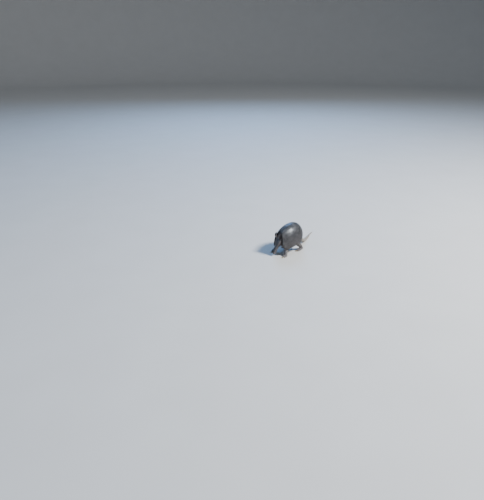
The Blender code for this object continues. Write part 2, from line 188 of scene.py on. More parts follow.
def crowded(point, others, least):
    return any((point - other).length < least for other in others)


def treeOf(points):
    tree = KDTree(len(points))
    for number, point in enumerate(points):
        tree.insert(point, number)
    tree.balance()
    return tree


def finishMesh(name, bm, slot, look):
    # vertices that were moved have left the normals stale
    bm.normal_update()
    bmesh.ops.recalc_face_normals(bm, faces=bm.faces)
    return plainMesh(name, bm, slot, look)


def plainMesh(name, bm, slot, look):
    mesh = bpy.data.meshes.new(name)
    bm.to_mesh(mesh)
    bm.free()
    mesh.shade_smooth()
    mesh.materials.append(look)
    piece = bpy.data.objects.new(name, mesh)
    bpy.context.scene.collection.objects.link(piece)
    if slot:
        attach(piece, "root")
    return piece


def loft(bm, rings):
    # rings of points, closed at both ends; each ring is made by extruding the last one's cap
    step = bm.verts.layers.int.get("step") or bm.verts.layers.int.new("step")
    start = bmesh.ops.create_circle(bm, cap_ends=True, segments=len(rings[0]), radius=1)["verts"]
    for number, vert in enumerate(start):
        vert[step] = number
    cap = next(face for face in start[0].link_faces)
    for number, ring in enumerate(rings):
        if number:
            geom = bmesh.ops.extrude_face_region(bm, geom=[cap, *cap.edges])["geom"]
            cap = next(part for part in geom if isinstance(part, bmesh.types.BMFace))
        for vert in cap.verts:
            vert.co = ring[vert[step]]


def oval(centre, side, up, width, height, count):
    return [
        centre + side * width * math.sin(turn) + up * height * math.cos(turn) for turn in turns(count)
    ]


def thickSheet(bm, columns, rows, place):
    # place(across -1..1, along 0..1, face 0 outside or 1 inside)
    before = set(bm.verts)
    bmesh.ops.create_grid(bm, x_segments=columns, y_segments=rows, size=0.5)
    outside = [vert for vert in bm.verts if vert not in before]
    faces = dict.fromkeys(face for vert in outside for face in vert.link_faces)
    made = bmesh.ops.extrude_face_region(bm, geom=list(faces), use_keep_orig=True)["geom"]
    inside = [part for part in made if isinstance(part, bmesh.types.BMVert)]
    for face, verts in enumerate((outside, inside)):
        for vert in verts:
            vert.co = place(vert.co.x * 2, vert.co.y + 0.5, face)


def roundEdges(bm, size):
    bmesh.ops.recalc_face_normals(bm, faces=bm.faces)
    edges = [edge for edge in bm.edges if edge.calc_face_angle() > 1]
    bmesh.ops.bevel(bm, geom=edges, offset=size, segments=3, profile=0.5, affect="EDGES", material=-1)


def shellPoint(place, turn, out=0.0):
    y, z, lean, width, height, _ = rowAt(shellTable, place)
    up = (height + out) * math.cos(turn)
    lean = math.radians(lean)
    return middle + Vector(
        ((width + out) * math.sin(turn), y + up * math.sin(lean), z + up * math.cos(lean))
    )


def shellRim(place):
    return math.radians(rowAt(shellTable, place)[-1])


def slopes(surface, u, v, step=0.002):
    alongU = (surface(u + step, v) - surface(u - step, v)) / (2 * step)
    alongV = (surface(u, v + step) - surface(u, v - step)) / (2 * step)
    return alongU, alongV


class Seed:
    # the root of one scute or scale
    def __init__(self, point, normal, across, radius, kind, uv):
        self.point, self.normal, self.across = point, normal, across
        self.radius, self.kind, self.uv = radius, kind, uv
        self.limits = []  # (direction, distance) of edges that the scute stops at

    def beside(self, offset):
        # the surface's u and v at an offset from here
        return [
            at + offset.dot(along) / along.length_squared
            for at, along in ((self.u, self.alongU), (self.v, self.alongV))
        ]


def seedOn(surface, u, v, radius, kind, away, unwrap):
    # a seed at u, v of a surface, its normal turned from the point that away gives
    point = surface(u, v)
    alongU, alongV = slopes(surface, u, v)
    normal = alongU.cross(alongV).normalized()
    if normal.dot(point - away(point)) < 0:
        normal = -normal
    seed = Seed(point, normal, alongU.normalized(), radius, kind, unwrap(u, v))
    seed.u, seed.v, seed.alongU, seed.alongV = u, v, alongU, alongV
    return seed


def clip(corners, wayX, wayY, limit):
    kept = []
    for i, (x, y) in enumerate(corners):
        beforeX, beforeY = corners[i - 1]
        depth = x * wayX + y * wayY - limit
        beforeDepth = beforeX * wayX + beforeY * wayY - limit
        if (depth > 0) != (beforeDepth > 0):
            share = beforeDepth / (beforeDepth - depth)
            kept.append((beforeX + (x - beforeX) * share, beforeY + (y - beforeY) * share))
        if depth <= 0:
            kept.append((x, y))
    return kept


# cells narrower than this inside are left out
thinnest = {"large": 0.00115, "small": 0.00042, "tiny": 0.00034, "fine": 0.00030}


def innerRadius(shape):
    centreX = sum(x for x, _ in shape) / len(shape)
    centreY = sum(y for _, y in shape) / len(shape)
    best = 1
    for i, (x, y) in enumerate(shape):
        beforeX, beforeY = shape[i - 1]
        sideX, sideY = x - beforeX, y - beforeY
        far = abs(sideX * (centreY - beforeY) - sideY * (centreX - beforeX)) / math.hypot(sideX, sideY)
        best = min(best, far)
    return best


def cells(seeds, others, reach, groove, roundness, corners=12):
    # each seed's share of the surface among its neighbours, as corners in its own tangent plane
    everything = [*seeds, *others]
    tree = treeOf([seed.point for seed in everything])
    found = []
    for number, seed in enumerate(seeds):
        across = (seed.across - seed.normal * seed.across.dot(seed.normal)).normalized()
        up = seed.normal.cross(across)
        limit = seed.radius * roundness[seed.kind] / math.cos(math.pi / corners)
        shape = []
        for i in range(corners):
            turn = 2 * math.pi * (i + 0.5) / corners
            shape.append((limit * math.cos(turn), limit * math.sin(turn)))
        for point, other, far in tree.find_range(seed.point, reach):
            if other == number or far < 0.0001:
                continue
            offset = point - seed.point
            x, y = offset.dot(across), offset.dot(up)
            flat = math.hypot(x, y) or 1
            share = (far**2 + seed.radius**2 - everything[other].radius ** 2) / (2 * far)
            shape = clip(shape, x / flat, y / flat, share - groove / 2)
        for way, limit in seed.limits:
            shape = clip(shape, way.dot(across), way.dot(up), limit)
        # corners that lie close together become one
        least = 0.16 * seed.radius
        tidy = []
        for corner in shape:
            if not tidy or math.dist(corner, tidy[-1]) > least:
                tidy.append(corner)
        if tidy and math.dist(tidy[0], tidy[-1]) < least:
            tidy.pop()
        if len(tidy) >= 3 and innerRadius(tidy) > thinnest[seed.kind]:
            found.append((seed, across, up, tidy))
    return found


def scuteCoat(name, found, shapes, slot, look):
    # shapes: kind -> (sink, [(inset, rise), ...], apex rise)
    bm = bmesh.new()
    which = bm.faces.layers.int.new("cell")
    marks = bm.verts.layers.float_color.new("scute")
    unwrap = bm.loops.layers.uv.new("OFBake")
    groups = {}
    for number, (seed, across, up, corners) in enumerate(found):
        sink, rings, apex = shapes[seed.kind]
        root = seed.point - seed.normal * sink
        verts = [bm.verts.new(root + across * x + up * y) for x, y in corners]
        face = bm.faces.new(verts)
        face[which] = number
        under = bm.faces.new([bm.verts.new(vert.co) for vert in reversed(verts)])
        under[which] = number
        groups.setdefault(seed.kind, []).append(face)
    bm.normal_update()
    for kind, faces in groups.items():
        sink, rings, apex = shapes[kind]
        for inset, rise in rings:
            bmesh.ops.inset_individual(bm, faces=faces, thickness=inset, depth=rise, use_even_offset=True)
        if apex is not None:
            bmesh.ops.poke(bm, faces=faces, offset=apex)
    bmesh.ops.remove_doubles(bm, verts=bm.verts, dist=0.000001)
    bm.faces.ensure_lookup_table()
    tones = [dice.random() for _ in found]
    for face in bm.faces:
        seed, across, up, corners = found[face[which]]
        sink, rings, apex = shapes[seed.kind]
        tall = sink + sum(rise for _, rise in rings) + (apex or 0)
        for loop in face.loops:
            offset = loop.vert.co - seed.point
            rise = clamp((offset.dot(seed.normal) + sink) / tall)
            size = 1 if seed.kind == "large" else 0
            loop.vert[marks] = (rise, tones[face[which]], size, 1)
            ways = zip(seed.uv, (across, up))
            loop[unwrap].uv = [
                uv + 0.0014 * max(-1, min(1, offset.dot(way) / seed.radius)) for uv, way in ways
            ]
    for vert in bm.verts:
        vert.co.z = max(0.0002, vert.co.z)
    plainMesh(name, bm, slot, look)


# The shell's plates are sheets with rounded edges. Places are shares of the shell's length.
plates = {"thick": 0.003, "sink": 0.0004, "bandSink": 0.00024, "round": 0.0007, "columns": 96}
bands = {"count": 9, "from": 0.30, "to": 0.66, "gap": 0.0016, "step": 0.0010, "scutes": 58}
shields = {"napeNotch": 0.11, "tailNotch": 0.035, "notchWidth": 0.46, "cornerCut": 0.10}
bandPitch = (bands["to"] - bands["from"]) / bands["count"]


def notch(across, depth):
    return depth * math.exp(-((across / shields["notchWidth"]) ** 2))


def shoulderFront(across):
    return notch(across, shields["napeNotch"]) + shields["cornerCut"] * abs(across) ** 6


def shoulderBack(across):
    return bands["from"] - bands["gap"]


def hipFront(across):
    return bands["to"]


def hipBack(across):
    return 1 - notch(across, shields["tailNotch"]) - shields["cornerCut"] * abs(across) ** 6


def plate(name, node, front, back, rows, sink, tuck=0.0):
    # the outside lies sink below the shell's true surface, which the scutes bring back
    def place(across, along, face):
        at = front(across) + (back(across) - front(across)) * along
        depth = tuck * (1 - along) + sink + face * (plates["thick"] - tuck - sink)
        return shellPoint(at, across * shellRim(at), -depth)

    bm = bmesh.new()
    thickSheet(bm, plates["columns"], rows, place)
    roundEdges(bm, plates["round"])
    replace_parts(finishMesh(name, bm, "shell", plateLook), node)


def archShares(place, count=120):
    # how far round the arch each turn lies: a list of (length from the top, turn)
    rim = shellRim(place)
    spots = [(0.0, 0.0)]
    last = shellPoint(place, 0)
    for i in range(1, count + 1):
        turn = rim * i / count
        point = shellPoint(place, turn)
        spots.append((spots[-1][0] + (point - last).length, turn))
        last = point
    return spots


def turnAt(spots, length):
    for (a, turnA), (b, turnB) in zip(spots, spots[1:]):
        if length <= b:
            return turnA + (turnB - turnA) * (length - a) / (b - a)
    return spots[-1][1] + (length - spots[-1][0]) * (spots[-1][1] / spots[-1][0])


def topPlaces(first, last, pitch):
    # places along the shell that lie a pitch apart on its top line, from last to first
    places = [last]
    point = shellPoint(last, 0)
    at = last
    while at > first - 0.08:
        at -= 0.001
        if (shellPoint(at, 0) - point).length >= pitch:
            places.append(at)
            point = shellPoint(at, 0)
    return places


def shellAway(point):
    return Vector((middle.x, point.y, 0.06))


# the shields' scutes: spacing and radii, how far the row along each edge lies in from it, how far the
# others keep from an edge, and how much each is moved at random
scute = {
    "pitch": 0.0069, "large": 0.00262, "small": 0.00112, "edgeIn": 0.0023, "edgeLeast": 0.0016,
    "fromEdge": 0.0030, "turnBy": 0.003, "placeBy": 0.0012,
}
# shares of the pitch: from row to row, and the least distances between two; shares of a small one's
# radius: the same for two small ones, and the side of a cell that has one midway
apart = {"rows": 0.87, "edge": 0.70, "large": 0.74, "largeToEdge": 0.84, "small": 1.45, "midway": 2.4}


def shieldSeeds(front, back):
    # rows of large scutes across a shield, then small ones in the gaps of their pattern
    pitch, small = scute["pitch"], scute["small"]
    edgeScute = pitch * 0.40
    first = min(front(across / 10) for across in range(-10, 11))
    last = max(back(across / 10) for across in range(-10, 11))

    def unwrap(place, turn):
        return 0.5 + 0.48 * turn / shellRim(place), 0.02 + 0.96 * (place - first) / (last - first)

    def seedAt(u, v, radius, kind):
        return seedOn(shellPoint, u, v, radius, kind, shellAway, unwrap)

    def edges(seed):
        # how far each edge of the shield is from a seed, and which way
        rim = shellRim(seed.u)
        across = max(-1.2, min(1.2, seed.v / rim))
        alongU, alongV = seed.alongU.length, seed.alongV.length
        wayU, wayV = seed.alongU / alongU, seed.alongV / alongV
        found = []
        for edge, sign in ((front, 1), (back, -1)):
            lean = (edge(across + 0.01) - edge(across - 0.01)) / 0.02
            slope = sign * (wayU / alongU - wayV * lean / (rim * alongV))
            found.append((-slope.normalized(), sign * (seed.u - edge(across)) / slope.length))
        for sign in (1, -1):
            found.append((wayV * sign, (1 - sign * across) * rim * alongV))
        return found

    def settle(seed, inner, least):
        # sorts a seed into those that are built and those that only bound their neighbours
        found = edges(seed)
        if min(far for _, far in found) > least:
            seed.limits = [(way, far - 0.0008) for way, far in found if far < 3 * seed.radius]
            inner.append(seed)
        else:
            ghosts.append(seed)

    big, ghosts, taken = [], [], []
    # a row of marginal scutes along every edge
    steps = evenly(-0.995, 0.995, 500)
    lines = [[(edge(across), across) for across in steps] for edge in (front, back)]
    for side in (-1, 1):
        start, length = front(side), back(side) - front(side)
        lines.append([(start + length * share, side) for share in evenly(0, 1, 200)])
    marginal = []
    for line in lines:
        for place, across in line:
            seed = seedAt(place, across * shellRim(place), edgeScute, "large")
            slope = min(edges(seed), key=lambda found: abs(found[1]))[0]
            seed = seedAt(*seed.beside(-slope * scute["edgeIn"]), edgeScute, "large")
            if min(far for _, far in edges(seed)) < scute["edgeLeast"]:
                continue
            if crowded(seed.point, marginal, pitch * apart["edge"]):
                continue
            marginal.append(seed.point)
            settle(seed, big, 0)
    places = topPlaces(first, last + 0.05, pitch * apart["rows"])
    for row, rowPlace in enumerate(places):
        if rowPlace > 1.05 or rowPlace < -0.06:
            continue
        spots = archShares(rowPlace)
        half = spots[-1][0] + pitch
        count = int(half / pitch) + 1
        for i in range(-count, count + 1):
            length = (i + 0.5 * (row % 2)) * pitch
            if abs(length) > half:
                continue
            turn = math.copysign(turnAt(spots, abs(length)), length)
            turn += dice.uniform(-scute["turnBy"], scute["turnBy"])
            place = rowPlace + dice.uniform(-scute["placeBy"], scute["placeBy"])
            point = shellPoint(place, turn)
            if crowded(point, taken[-260:], pitch * apart["large"]):
                continue
            if crowded(point, marginal, pitch * apart["largeToEdge"]):
                continue
            taken.append(point)
            settle(seedAt(place, turn, scute["large"], "large"), big, scute["fromEdge"])
    beads, added = [], []
    for seed, across, up, corners in cells(big, ghosts, pitch * 2.2, 0, {"large": 1.9}):
        spots = []
        for i, (x, y) in enumerate(corners):
            nextX, nextY = corners[(i + 1) % len(corners)]
            spots.append((x, y))
            if math.hypot(nextX - x, nextY - y) > small * apart["midway"]:
                spots.append(((x + nextX) / 2, (y + nextY) / 2))
        for x, y in spots:
            u, v = seed.beside(across * x + up * y)
            point = shellPoint(u, v)
            if crowded(point, added[-700:], small * apart["small"]):
                continue
            added.append(point)
            settle(seedAt(u, v, small * dice.uniform(0.9, 1.08), "small"), beads, small)
    return big + beads, ghosts


# A band's scutes: places along the band of their point and wide end, half widths there as shares of
# the pitch. The large ones point forward, and the small ones between them point back.
bandScutes = {
    "large": {"pointAt": 0.10, "wideAt": 0.95, "point": 0.16, "wide": 0.62 * 0.66},
    "small": {"pointAt": 0.93, "wideAt": 0.06, "point": 0.10 * 0.50, "wide": 0.46 * 0.50},
}


def bandCells(number):
    front = bands["from"] + number * bandPitch
    back = front + bandPitch - bands["gap"]
    spots = archShares((front + back) / 2)
    length = spots[-1][0]
    count = bands["scutes"]
    width = 2 * length / count

    def unwrap(place, turn):
        along = (place - bands["from"]) / (bands["to"] - bands["from"])
        return 0.5 + 0.48 * turn / shellRim(place), 0.02 + 0.96 * along

    found = []
    for i in range(count):
        centre = (i + 0.5) * width - length
        for kind, sizes in bandScutes.items():
            mid = centre if kind == "large" else centre + width / 2
            if abs(mid) > length - width * 0.35:
                continue
            outline = []
            for end, sign in (("point", -1), ("point", 1), ("wide", 1), ("wide", -1)):
                across, along = sign * sizes[end], sizes[end + "At"]
                place = front + (back - front) * along
                share = (mid + across * width) / length
                outline.append(shellPoint(place, share * shellRim(place), -bands["step"] * (1 - along)))
            place = (front + back) / 2
            turn = mid / length * shellRim(place)
            seed = seedOn(shellPoint, place, turn, width / 2, kind, shellAway, unwrap)
            across = seed.across
            up = seed.normal.cross(across)
            seed.point = sum(outline, Vector()) / len(outline)
            flat = [((p - seed.point).dot(across), (p - seed.point).dot(up)) for p in outline]
            area = sum(a[0] * b[1] - a[1] * b[0] for a, b in zip(flat, flat[1:] + flat[:1]))
            found.append((seed, across, up, flat if area > 0 else flat[::-1]))
    return found


# where the head and the eyes are: angles, length down the snout, turn round it, depth in it
headSizes = {"pitch": math.radians(62), "turn": math.radians(5), "length": 0.122}
eyeSizes = {"radius": 0.0042, "along": 0.0445, "round": math.radians(70), "sink": 0.0024, "iris": 0.0026}
headRoot = middle + Vector((0.001, -0.1110, 0.1235))
headTwist = Matrix.Rotation(-headSizes["turn"], 3, "Z")
headForward = headTwist @ Vector((0, -math.cos(headSizes["pitch"]), -math.sin(headSizes["pitch"])))
headSide = headTwist @ Vector((1, 0, 0))
headCrown = headForward.cross(headSide)


def headPoint(place, turn, out=0.0, size=1.0):
    width, top, bottom = rowAt(headTable, place)
    tall = math.cos(turn) * ((top if math.cos(turn) > 0 else bottom) * size + out)
    wide = (width * size + out) * math.sin(turn)
    return headRoot + headForward * place + headSide * wide + headCrown * tall


def headAway(point):
    return headRoot + headForward * (point - headRoot).dot(headForward)


def headTurn(local):
    return math.atan2(local.dot(headSide), local.dot(headCrown))


def eyePlace(sign, out=0.0):
    return headPoint(eyeSizes["along"], sign * eyeSizes["round"], out)


def headRings(count, around):
    rows = [(place, 1) for place in evenly(-0.006, headSizes["length"] - 0.0004, count)]
    rows += [(0.1218, 0.93), (0.1223, 0.80), (0.1226, 0.60), (0.1228, 0.30)]
    rings = [[headPoint(place, turn, 0, size) for turn in turns(around)] for place, size in rows]
    # the lower jaw ends short of the nose
    for ring in rings:
        for point in ring:
            local = point - headRoot
            low = ease((-local.dot(headCrown) - 0.0015) / 0.005)
            point -= headForward * 0.0042 * low * ease((local.dot(headForward) - 0.104) / 0.017)
    return rings


def neckRings(count, around):
    start = oval(
        middle + Vector((0, -0.086, 0.117)), Vector((1, 0, 0)), Vector((0, -0.2, 0.98)).normalized(),
        0.045, 0.045, around,
    )
    end = [headPoint(0.004, turn) for turn in turns(around)]
    rings = []
    for share in evenly(0, 1, count):
        bow = (headCrown - headForward) * 0.016 * share * (1 - share)
        rings.append([a.lerp(b, share) + bow for a, b in zip(start, end)])
    return rings


# where an ear grows from: down the head and round it; its sizes, how deep its root is, its backward bow
ears = {
    "along": 0.005, "round": math.radians(46), "thick": 0.0021, "half": 0.0145, "tall": 0.041,
    "sunk": 0.006, "bow": 0.004,
}


def earPlace(sign):
    up = Vector((sign * 0.20, -0.06, 1)).normalized()
    facing = Vector((sign * 0.62, -1, 0))
    facing = (facing - up * facing.dot(up)).normalized()
    sideways = up.cross(facing)
    root = headPoint(ears["along"], sign * ears["round"]) - up * ears["sunk"]

    def place(across, along, face):
        half = ears["half"] * (1 - abs((along - 0.50) / 0.56) ** 3) ** 0.5
        curl = math.radians(112 - 78 * along)
        radius = half / curl
        turn = across * curl
        deep = radius + (face - 0.5) * ears["thick"]
        lift = up * (ears["tall"] * along * (1 - 0.16 * (across * along) ** 2))
        bow = facing * (radius - deep * math.cos(turn) + ears["bow"] * math.sin(math.pi * along))
        return root + lift + sideways * deep * math.sin(turn) + bow

    return place


def limbPath(kind, name, sign, sunk=0.0):
    # rows along a limb, with the share of its length first
    table = limbTables[kind]
    back = setBack[f"{kind[:4]}_{name}"]
    rows = []
    for i, (x, y, z, width, depth) in enumerate(table):
        share = i / (len(table) - 1)
        rows.append((share, middle.x + sign * x, middle.y + y + back, z - sunk, width, depth))
    return rows


def limbRings(rows, count, around):
    across = Vector((1, 0, 0))
    rings = []
    for share in evenly(0, 1, count):
        *centre, width, depth = rowAt(rows, share)
        deep = across.cross(headingAt(rows, share)).normalized()
        rings.append(oval(Vector(centre), across, deep, width, depth, around))
    return rings


def toeSpots(kind, name, sign):
    # tip, direction, half width, claw length of each toe
    table = limbTables[kind]
    endX, endY = table[-1][:2]
    back = setBack[f"{kind[:4]}_{name}"]
    spots = []
    for x, y, width, length, out in toeTables[kind]:
        tip = middle + Vector((sign * (endX + x), endY + back + y, width * 1.10 - 0.0006))
        way = Matrix.Rotation(sign * math.radians(out), 3, "Z") @ Vector((0, -1, 0))
        spots.append((tip, way, width, length))
    return spots


def stem(start, reach, sizes, around, drop=0.0):
    side = reach.cross(upward).normalized()
    rings = []
    for i, (width, tall) in enumerate(sizes):
        share = i / (len(sizes) - 1)
        centre = start + reach * share - upward * drop * share**2
        rings.append(oval(centre, side, upward, width, tall, around))
    return rings


def tailSpot(share, turn, out=0.0):
    *centre, radius = rowAt(tailTable, share)
    way = headingAt(tailTable, share).normalized()
    side = way.cross(upward).normalized()
    up = side.cross(way)
    point = middle + Vector(centre) + (side * math.sin(turn) + up * math.cos(turn)) * (radius + out)
    point.z = max(0.0, point.z)
    return point


def tailAway(point):
    spots = [middle + spotAt(tailTable, share) for share in evenly(0, 1, 60)]
    return min(spots, key=lambda spot: (spot - point).length)


# one skin over all the flesh: grain of the remesh in metres, smoothing steps, most triangles
skinSizes = {"voxel": 0.00085, "relax": 6, "triangles": 185000}


def fleshMesh():
    bm = bmesh.new()
    rings = []
    for place in evenly(0.175, 0.98, 34):
        size, belly = rowAt(trunkTable, place)
        y, z = rowAt(shellTable, place)[:2]
        centre = middle + Vector((0, y, z))
        ring = []
        for turn in turns(64):
            point = shellPoint(place, turn, -plates["thick"] - 0.0012)
            if math.cos(turn) < 0:
                point.y = centre.y
                point.z = z + (z - belly) * math.cos(turn)
            ring.append(centre + (point - centre) * size)
        rings.append(ring)
    loft(bm, rings)
    loft(bm, neckRings(10, 40))
    loft(bm, headRings(44, 48))
    for name, sign in sides:
        for kind in ("foreleg", "hindleg"):
            loft(bm, limbRings(limbPath(kind, name, sign), 20, 28))
        for kind in ("forefoot", "hindfoot"):
            loft(bm, limbRings(limbPath(kind, name, sign, 0.002), 16, 28))
            for tip, way, width, _ in toeSpots(kind, name, sign):
                start = tip - way * 0.017 + upward * 0.0035
                sizes = [(width * share, width * share * 1.10) for share in toeShares]
                loft(bm, stem(start, tip - start + way * 0.0006, sizes, 16))
        thickSheet(bm, 44, 34, earPlace(sign))
        centre = eyePlace(sign, -eyeSizes["sink"])
        out = (centre - headAway(centre)).normalized()
        lidRing(bm, centre, out)
    rings = []
    for share in evenly(0, 1, 80):
        inset = 0.0014 if share < 0.6 else 0.0005
        rings.append([tailSpot(share, turn, -inset) for turn in turns(24)])
    loft(bm, rings)
    return bm


# the lids are one ring: its height over the eye's middle, its radius, half its thickness, and how much
# less tall than long it is
lids = {"over": 0.0027, "radius": 0.0043, "thick": 0.00125, "flat": 0.32}


def lidRing(bm, centre, out):
    along = (headForward - out * headForward.dot(out)).normalized()
    tall = out.cross(along)
    before = set(bm.verts)
    start = centre + out * lids["over"] + along * lids["radius"]
    turn = Matrix((along, out, tall)).transposed().to_4x4()
    place = Matrix.Translation(start) @ turn
    made = bmesh.ops.create_circle(bm, segments=12, radius=lids["thick"], matrix=place)
    edges = dict.fromkeys(edge for vert in made["verts"] for edge in vert.link_edges)
    bmesh.ops.spin(
        bm, geom=[*made["verts"], *edges], cent=centre, axis=out, angle=2 * math.pi, steps=28,
        use_merge=True,
    )
    for vert in bm.verts:
        if vert not in before:
            side = (vert.co - centre).dot(tall)
            vert.co -= tall * side * lids["flat"]


def shownMesh(thing):
    graph = bpy.context.evaluated_depsgraph_get()
    return bpy.data.meshes.new_from_object(thing.evaluated_get(graph), depsgraph=graph)


def nearestLimb(point):
    # distance, number of the limb, share of the way down it
    best = (1, 0, 0)
    for number, (_, rows) in enumerate(limbRows):
        for share in shareSteps:
            far = (point - rows[share]).length
            if far < best[0]:
                best = (far, number, share)
    return best


shareSteps = evenly(0, 1, 11)
limbRows = []
for limbName, limbSign in sides:
    for limbKind in ("foreleg", "hindleg", "forefoot", "hindfoot"):
        limbTrack = limbPath(limbKind, limbName, limbSign)
        limbRows.append((limbKind, {share: spotAt(limbTrack, share) for share in shareSteps}))


# points down the tail's middle, and all over each ear with the way its hollow opens
tailShares = evenly(0, 1, 100)
tailTree = treeOf([middle + spotAt(tailTable, share) for share in tailShares])
earSpots = []
for earSign in (1, -1):
    earSurface = earPlace(earSign)
    for earAcross in evenly(-1, 1, 24):
        for earAlong in evenly(0.12, 1, 30):
            opening = earSurface(earAcross, earAlong, 0) - earSurface(earAcross, earAlong, 1)
            earSpots.append((earSurface(earAcross, earAlong, 0.5), opening.normalized()))
earTree = treeOf([spot for spot, _ in earSpots])


def isTail(point):
    _, number, far = tailTree.find(point)
    return far < rowAt(tailTable, tailShares[number])[3] + 0.0016 and number > 8


def earInside(point, normal):
    # 1 in the ear's hollow and 0 on its back
    return ease(normal.dot(earSpots[earTree.find(point)[1]][1]) / 0.3)


def regionOf(point):
    # head, ear, neck, leg, foot, tail, rump, belly or hidden, with a number along it
    if isTail(point):
        return "tail", (point.y - middle.y) / 0.37
    if earTree.find(point)[2] < 0.0019:
        return "ear", 0
    local = point - headRoot
    along = local.dot(headForward)
    if point.y < middle.y - 0.100 and along > -0.002 and abs(local.dot(headSide)) < 0.034:
        return "head", along
    if point.y < middle.y - 0.092 and along <= -0.002 and point.z > 0.112:
        return "neck", along
    far, number, share = nearestLimb(point)
    if limbRows[number][0].endswith("foot") and far < 0.026 and point.z < 0.024:
        return "foot", share
    if point.z < 0.058 and far < 0.030 and abs(point.x - middle.x) > 0.018:
        return "leg", share
    if point.y < middle.y - 0.078 and point.z > 0.055:
        return "neck", along
    if point.z < 0.064:
        return "belly", point.y
    if point.y > middle.y + 0.032:
        return "rump", point.z
    return "hidden", 0


def refine(mesh):
    # smaller faces where the nostrils, lips and lids are
    bm = bmesh.new()
    bm.from_mesh(mesh)
    eyes = [eyePlace(sign) for _, sign in sides]
    for least, around in ((0.112, 0.0072), (0.1175, 0.0)):
        chosen = []
        for edge in bm.edges:
            point = edge.verts[0].co
            along = (point - headRoot).dot(headForward)
            if point.y > middle.y - 0.10 or point.z > 0.15:
                continue
            if along > least or min((point - eye).length for eye in eyes) < around:
                chosen.append(edge)
        bmesh.ops.subdivide_edges(bm, edges=chosen, cuts=1, use_grid_fill=True)
    ankles = [rows[1.0] + upward * 0.006 for kind, rows in limbRows if kind.endswith("leg")]

    def onSnout(point):
        return (point - headRoot).dot(headForward) > 0.110 and point.y < middle.y - 0.1

    def onAnkle(point):
        return point.z > 0.008 and min((point - ankle).length for ankle in ankles) < 0.017

    axes = {"use_axis_x": True, "use_axis_y": True, "use_axis_z": True}
    for isNear, steps in ((onSnout, 3), (onAnkle, 42)):
        near = [vert for vert in bm.verts if isNear(vert.co)]
        for _ in range(steps):
            bmesh.ops.smooth_vert(bm, verts=near, factor=0.5, **axes)
    bm.to_mesh(mesh)
    bm.free()


def skinPiece(material):
    print("skin: remesh", flush=True)
    rough = finishMesh("flesh", fleshMesh(), None, material)
    remesh = rough.modifiers.new("one", "REMESH")
    remesh.mode = "VOXEL"
    remesh.voxel_size = skinSizes["voxel"]
    relax = rough.modifiers.new("relax", "SMOOTH")
    relax.factor = 0.5
    relax.iterations = skinSizes["relax"]
    mesh = shownMesh(rough)
    bpy.data.objects.remove(rough)
    refine(mesh)
    print("skin: folds", len(mesh.vertices), flush=True)
    marks = mesh.attributes.new("skin", "FLOAT_COLOR", "POINT")
    normals = [vert.normal.copy() for vert in mesh.vertices]
    for vert, normal in zip(mesh.vertices, normals):
        region, share = regionOf(vert.co)
        move, pink, dark = skinDetail(vert.co, normal, region, share)
        vert.co += normal * move
        if vert.co.z < 0.0004:
            vert.co.z = 0.0
        # the ear's hollow is marked for painted shade
        hollow = earInside(vert.co, normal) if region == "ear" else 0
        marks.data[vert.index].color = (pink, dark, hollow, 1)
    skin = bpy.data.objects.new("skin", mesh)
    bpy.context.scene.collection.objects.link(skin)
    fewer = skin.modifiers.new("fewer", "DECIMATE")
    mesh.calc_loop_triangles()
    fewer.ratio = min(1, skinSizes["triangles"] / len(mesh.loop_triangles))
    final = shownMesh(skin)
    skin.modifiers.clear()
    skin.data = final
    bpy.data.meshes.remove(mesh)
    final.shade_smooth()
    final.materials.clear()
    final.materials.append(material)
    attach(skin, "root")
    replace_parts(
        skin, "head", "neck", "trunk", "ear_left", "ear_right", "foreleg_left", "foreleg_right",
        "hindleg_left", "hindleg_right", "forefoot_left", "forefoot_right", "hindfoot_left",
        "hindfoot_right", "tail_root", "tail_middle", "tail_end",
    )
    return skin


def folds(point, pitch, along, wander):
    # ridges across a direction, bent by noise; 1 on a ridge and 0 in a fold
    bend = noise.noise(point * 55) * wander
    return 0.5 + 0.5 * math.sin(2 * math.pi * (along / pitch + bend))


def skinDetail(point, normal, region, share):
    # how far the skin moves out here, how pink it is and how dark; the dark is partly painted shade, in the
    # folds and in the ear's hollow
    grain = noise.noise(point * 420) * 0.00010
    if region == "hidden":
        return 0, 0.4, 0.2
    if region == "neck":
        along = (point - headRoot).dot((headForward * 0.4 + Vector((0, -1, 0.2))).normalized())
        ridge = folds(point, 0.0062, along, 0.8)
        # darker in the folds: painted shade
        return grain + 0.0011 * (ridge - 0.6), 0.30, 0.75 * (1 - ridge)
    if region == "ear":
        vein = noise.noise(Vector((point.x * 260, point.y * 260, point.z * 60)))
        inside = earInside(point, normal)
        # darker in the hollow: painted shade
        return grain + 0.00022 * vein * inside, 0.30 * (1 - inside), 0.35 + 0.65 * inside
    if region == "tail":
        return grain, 0.35, 0.12
    if region == "rump":
        ridge = folds(point, 0.0060, point.z - point.y, 0.7)
        # darker in the folds: painted shade
        return grain + 0.0006 * (ridge - 0.6), 0.45, 0.6 * (1 - ridge)
    if region == "belly":
        ridge = folds(point, 0.0075, point.y, 0.7)
        # darker in the folds: painted shade
        return grain + 0.0008 * (ridge - 0.6) * ease((0.064 - point.z) / 0.01), 0.80, 0.5 * (1 - ridge)
    if region == "leg":
        ridge = folds(point, 0.0068, point.z * 0.9 + abs(point.x) * 0.4, 0.8)
        # darker in the folds: painted shade
        return grain + 0.0007 * (ridge - 0.5), 0.30, 0.5 * (1 - ridge)
    if region == "foot":
        ridge = folds(point, 0.0042, point.y, 0.5)
        top = ease((point.z - 0.004) / 0.004)
        # darker in the folds: painted shade
        return (grain + 0.00035 * (ridge - 0.5)) * top, 0.35, 0.35 * (1 - ridge) * top
    return headDetail(point, share, grain)


mouth = {"from": 0.050, "to": 0.119, "round": math.radians(118), "deep": 0.0009, "wide": 0.0009}
nostril = {"along": 0.1212, "side": 0.0038, "up": 0.0014, "deep": 0.0030, "wide": 0.0013}


def bell(distance, width, power=2):
    return math.exp(-((distance / width) ** power))


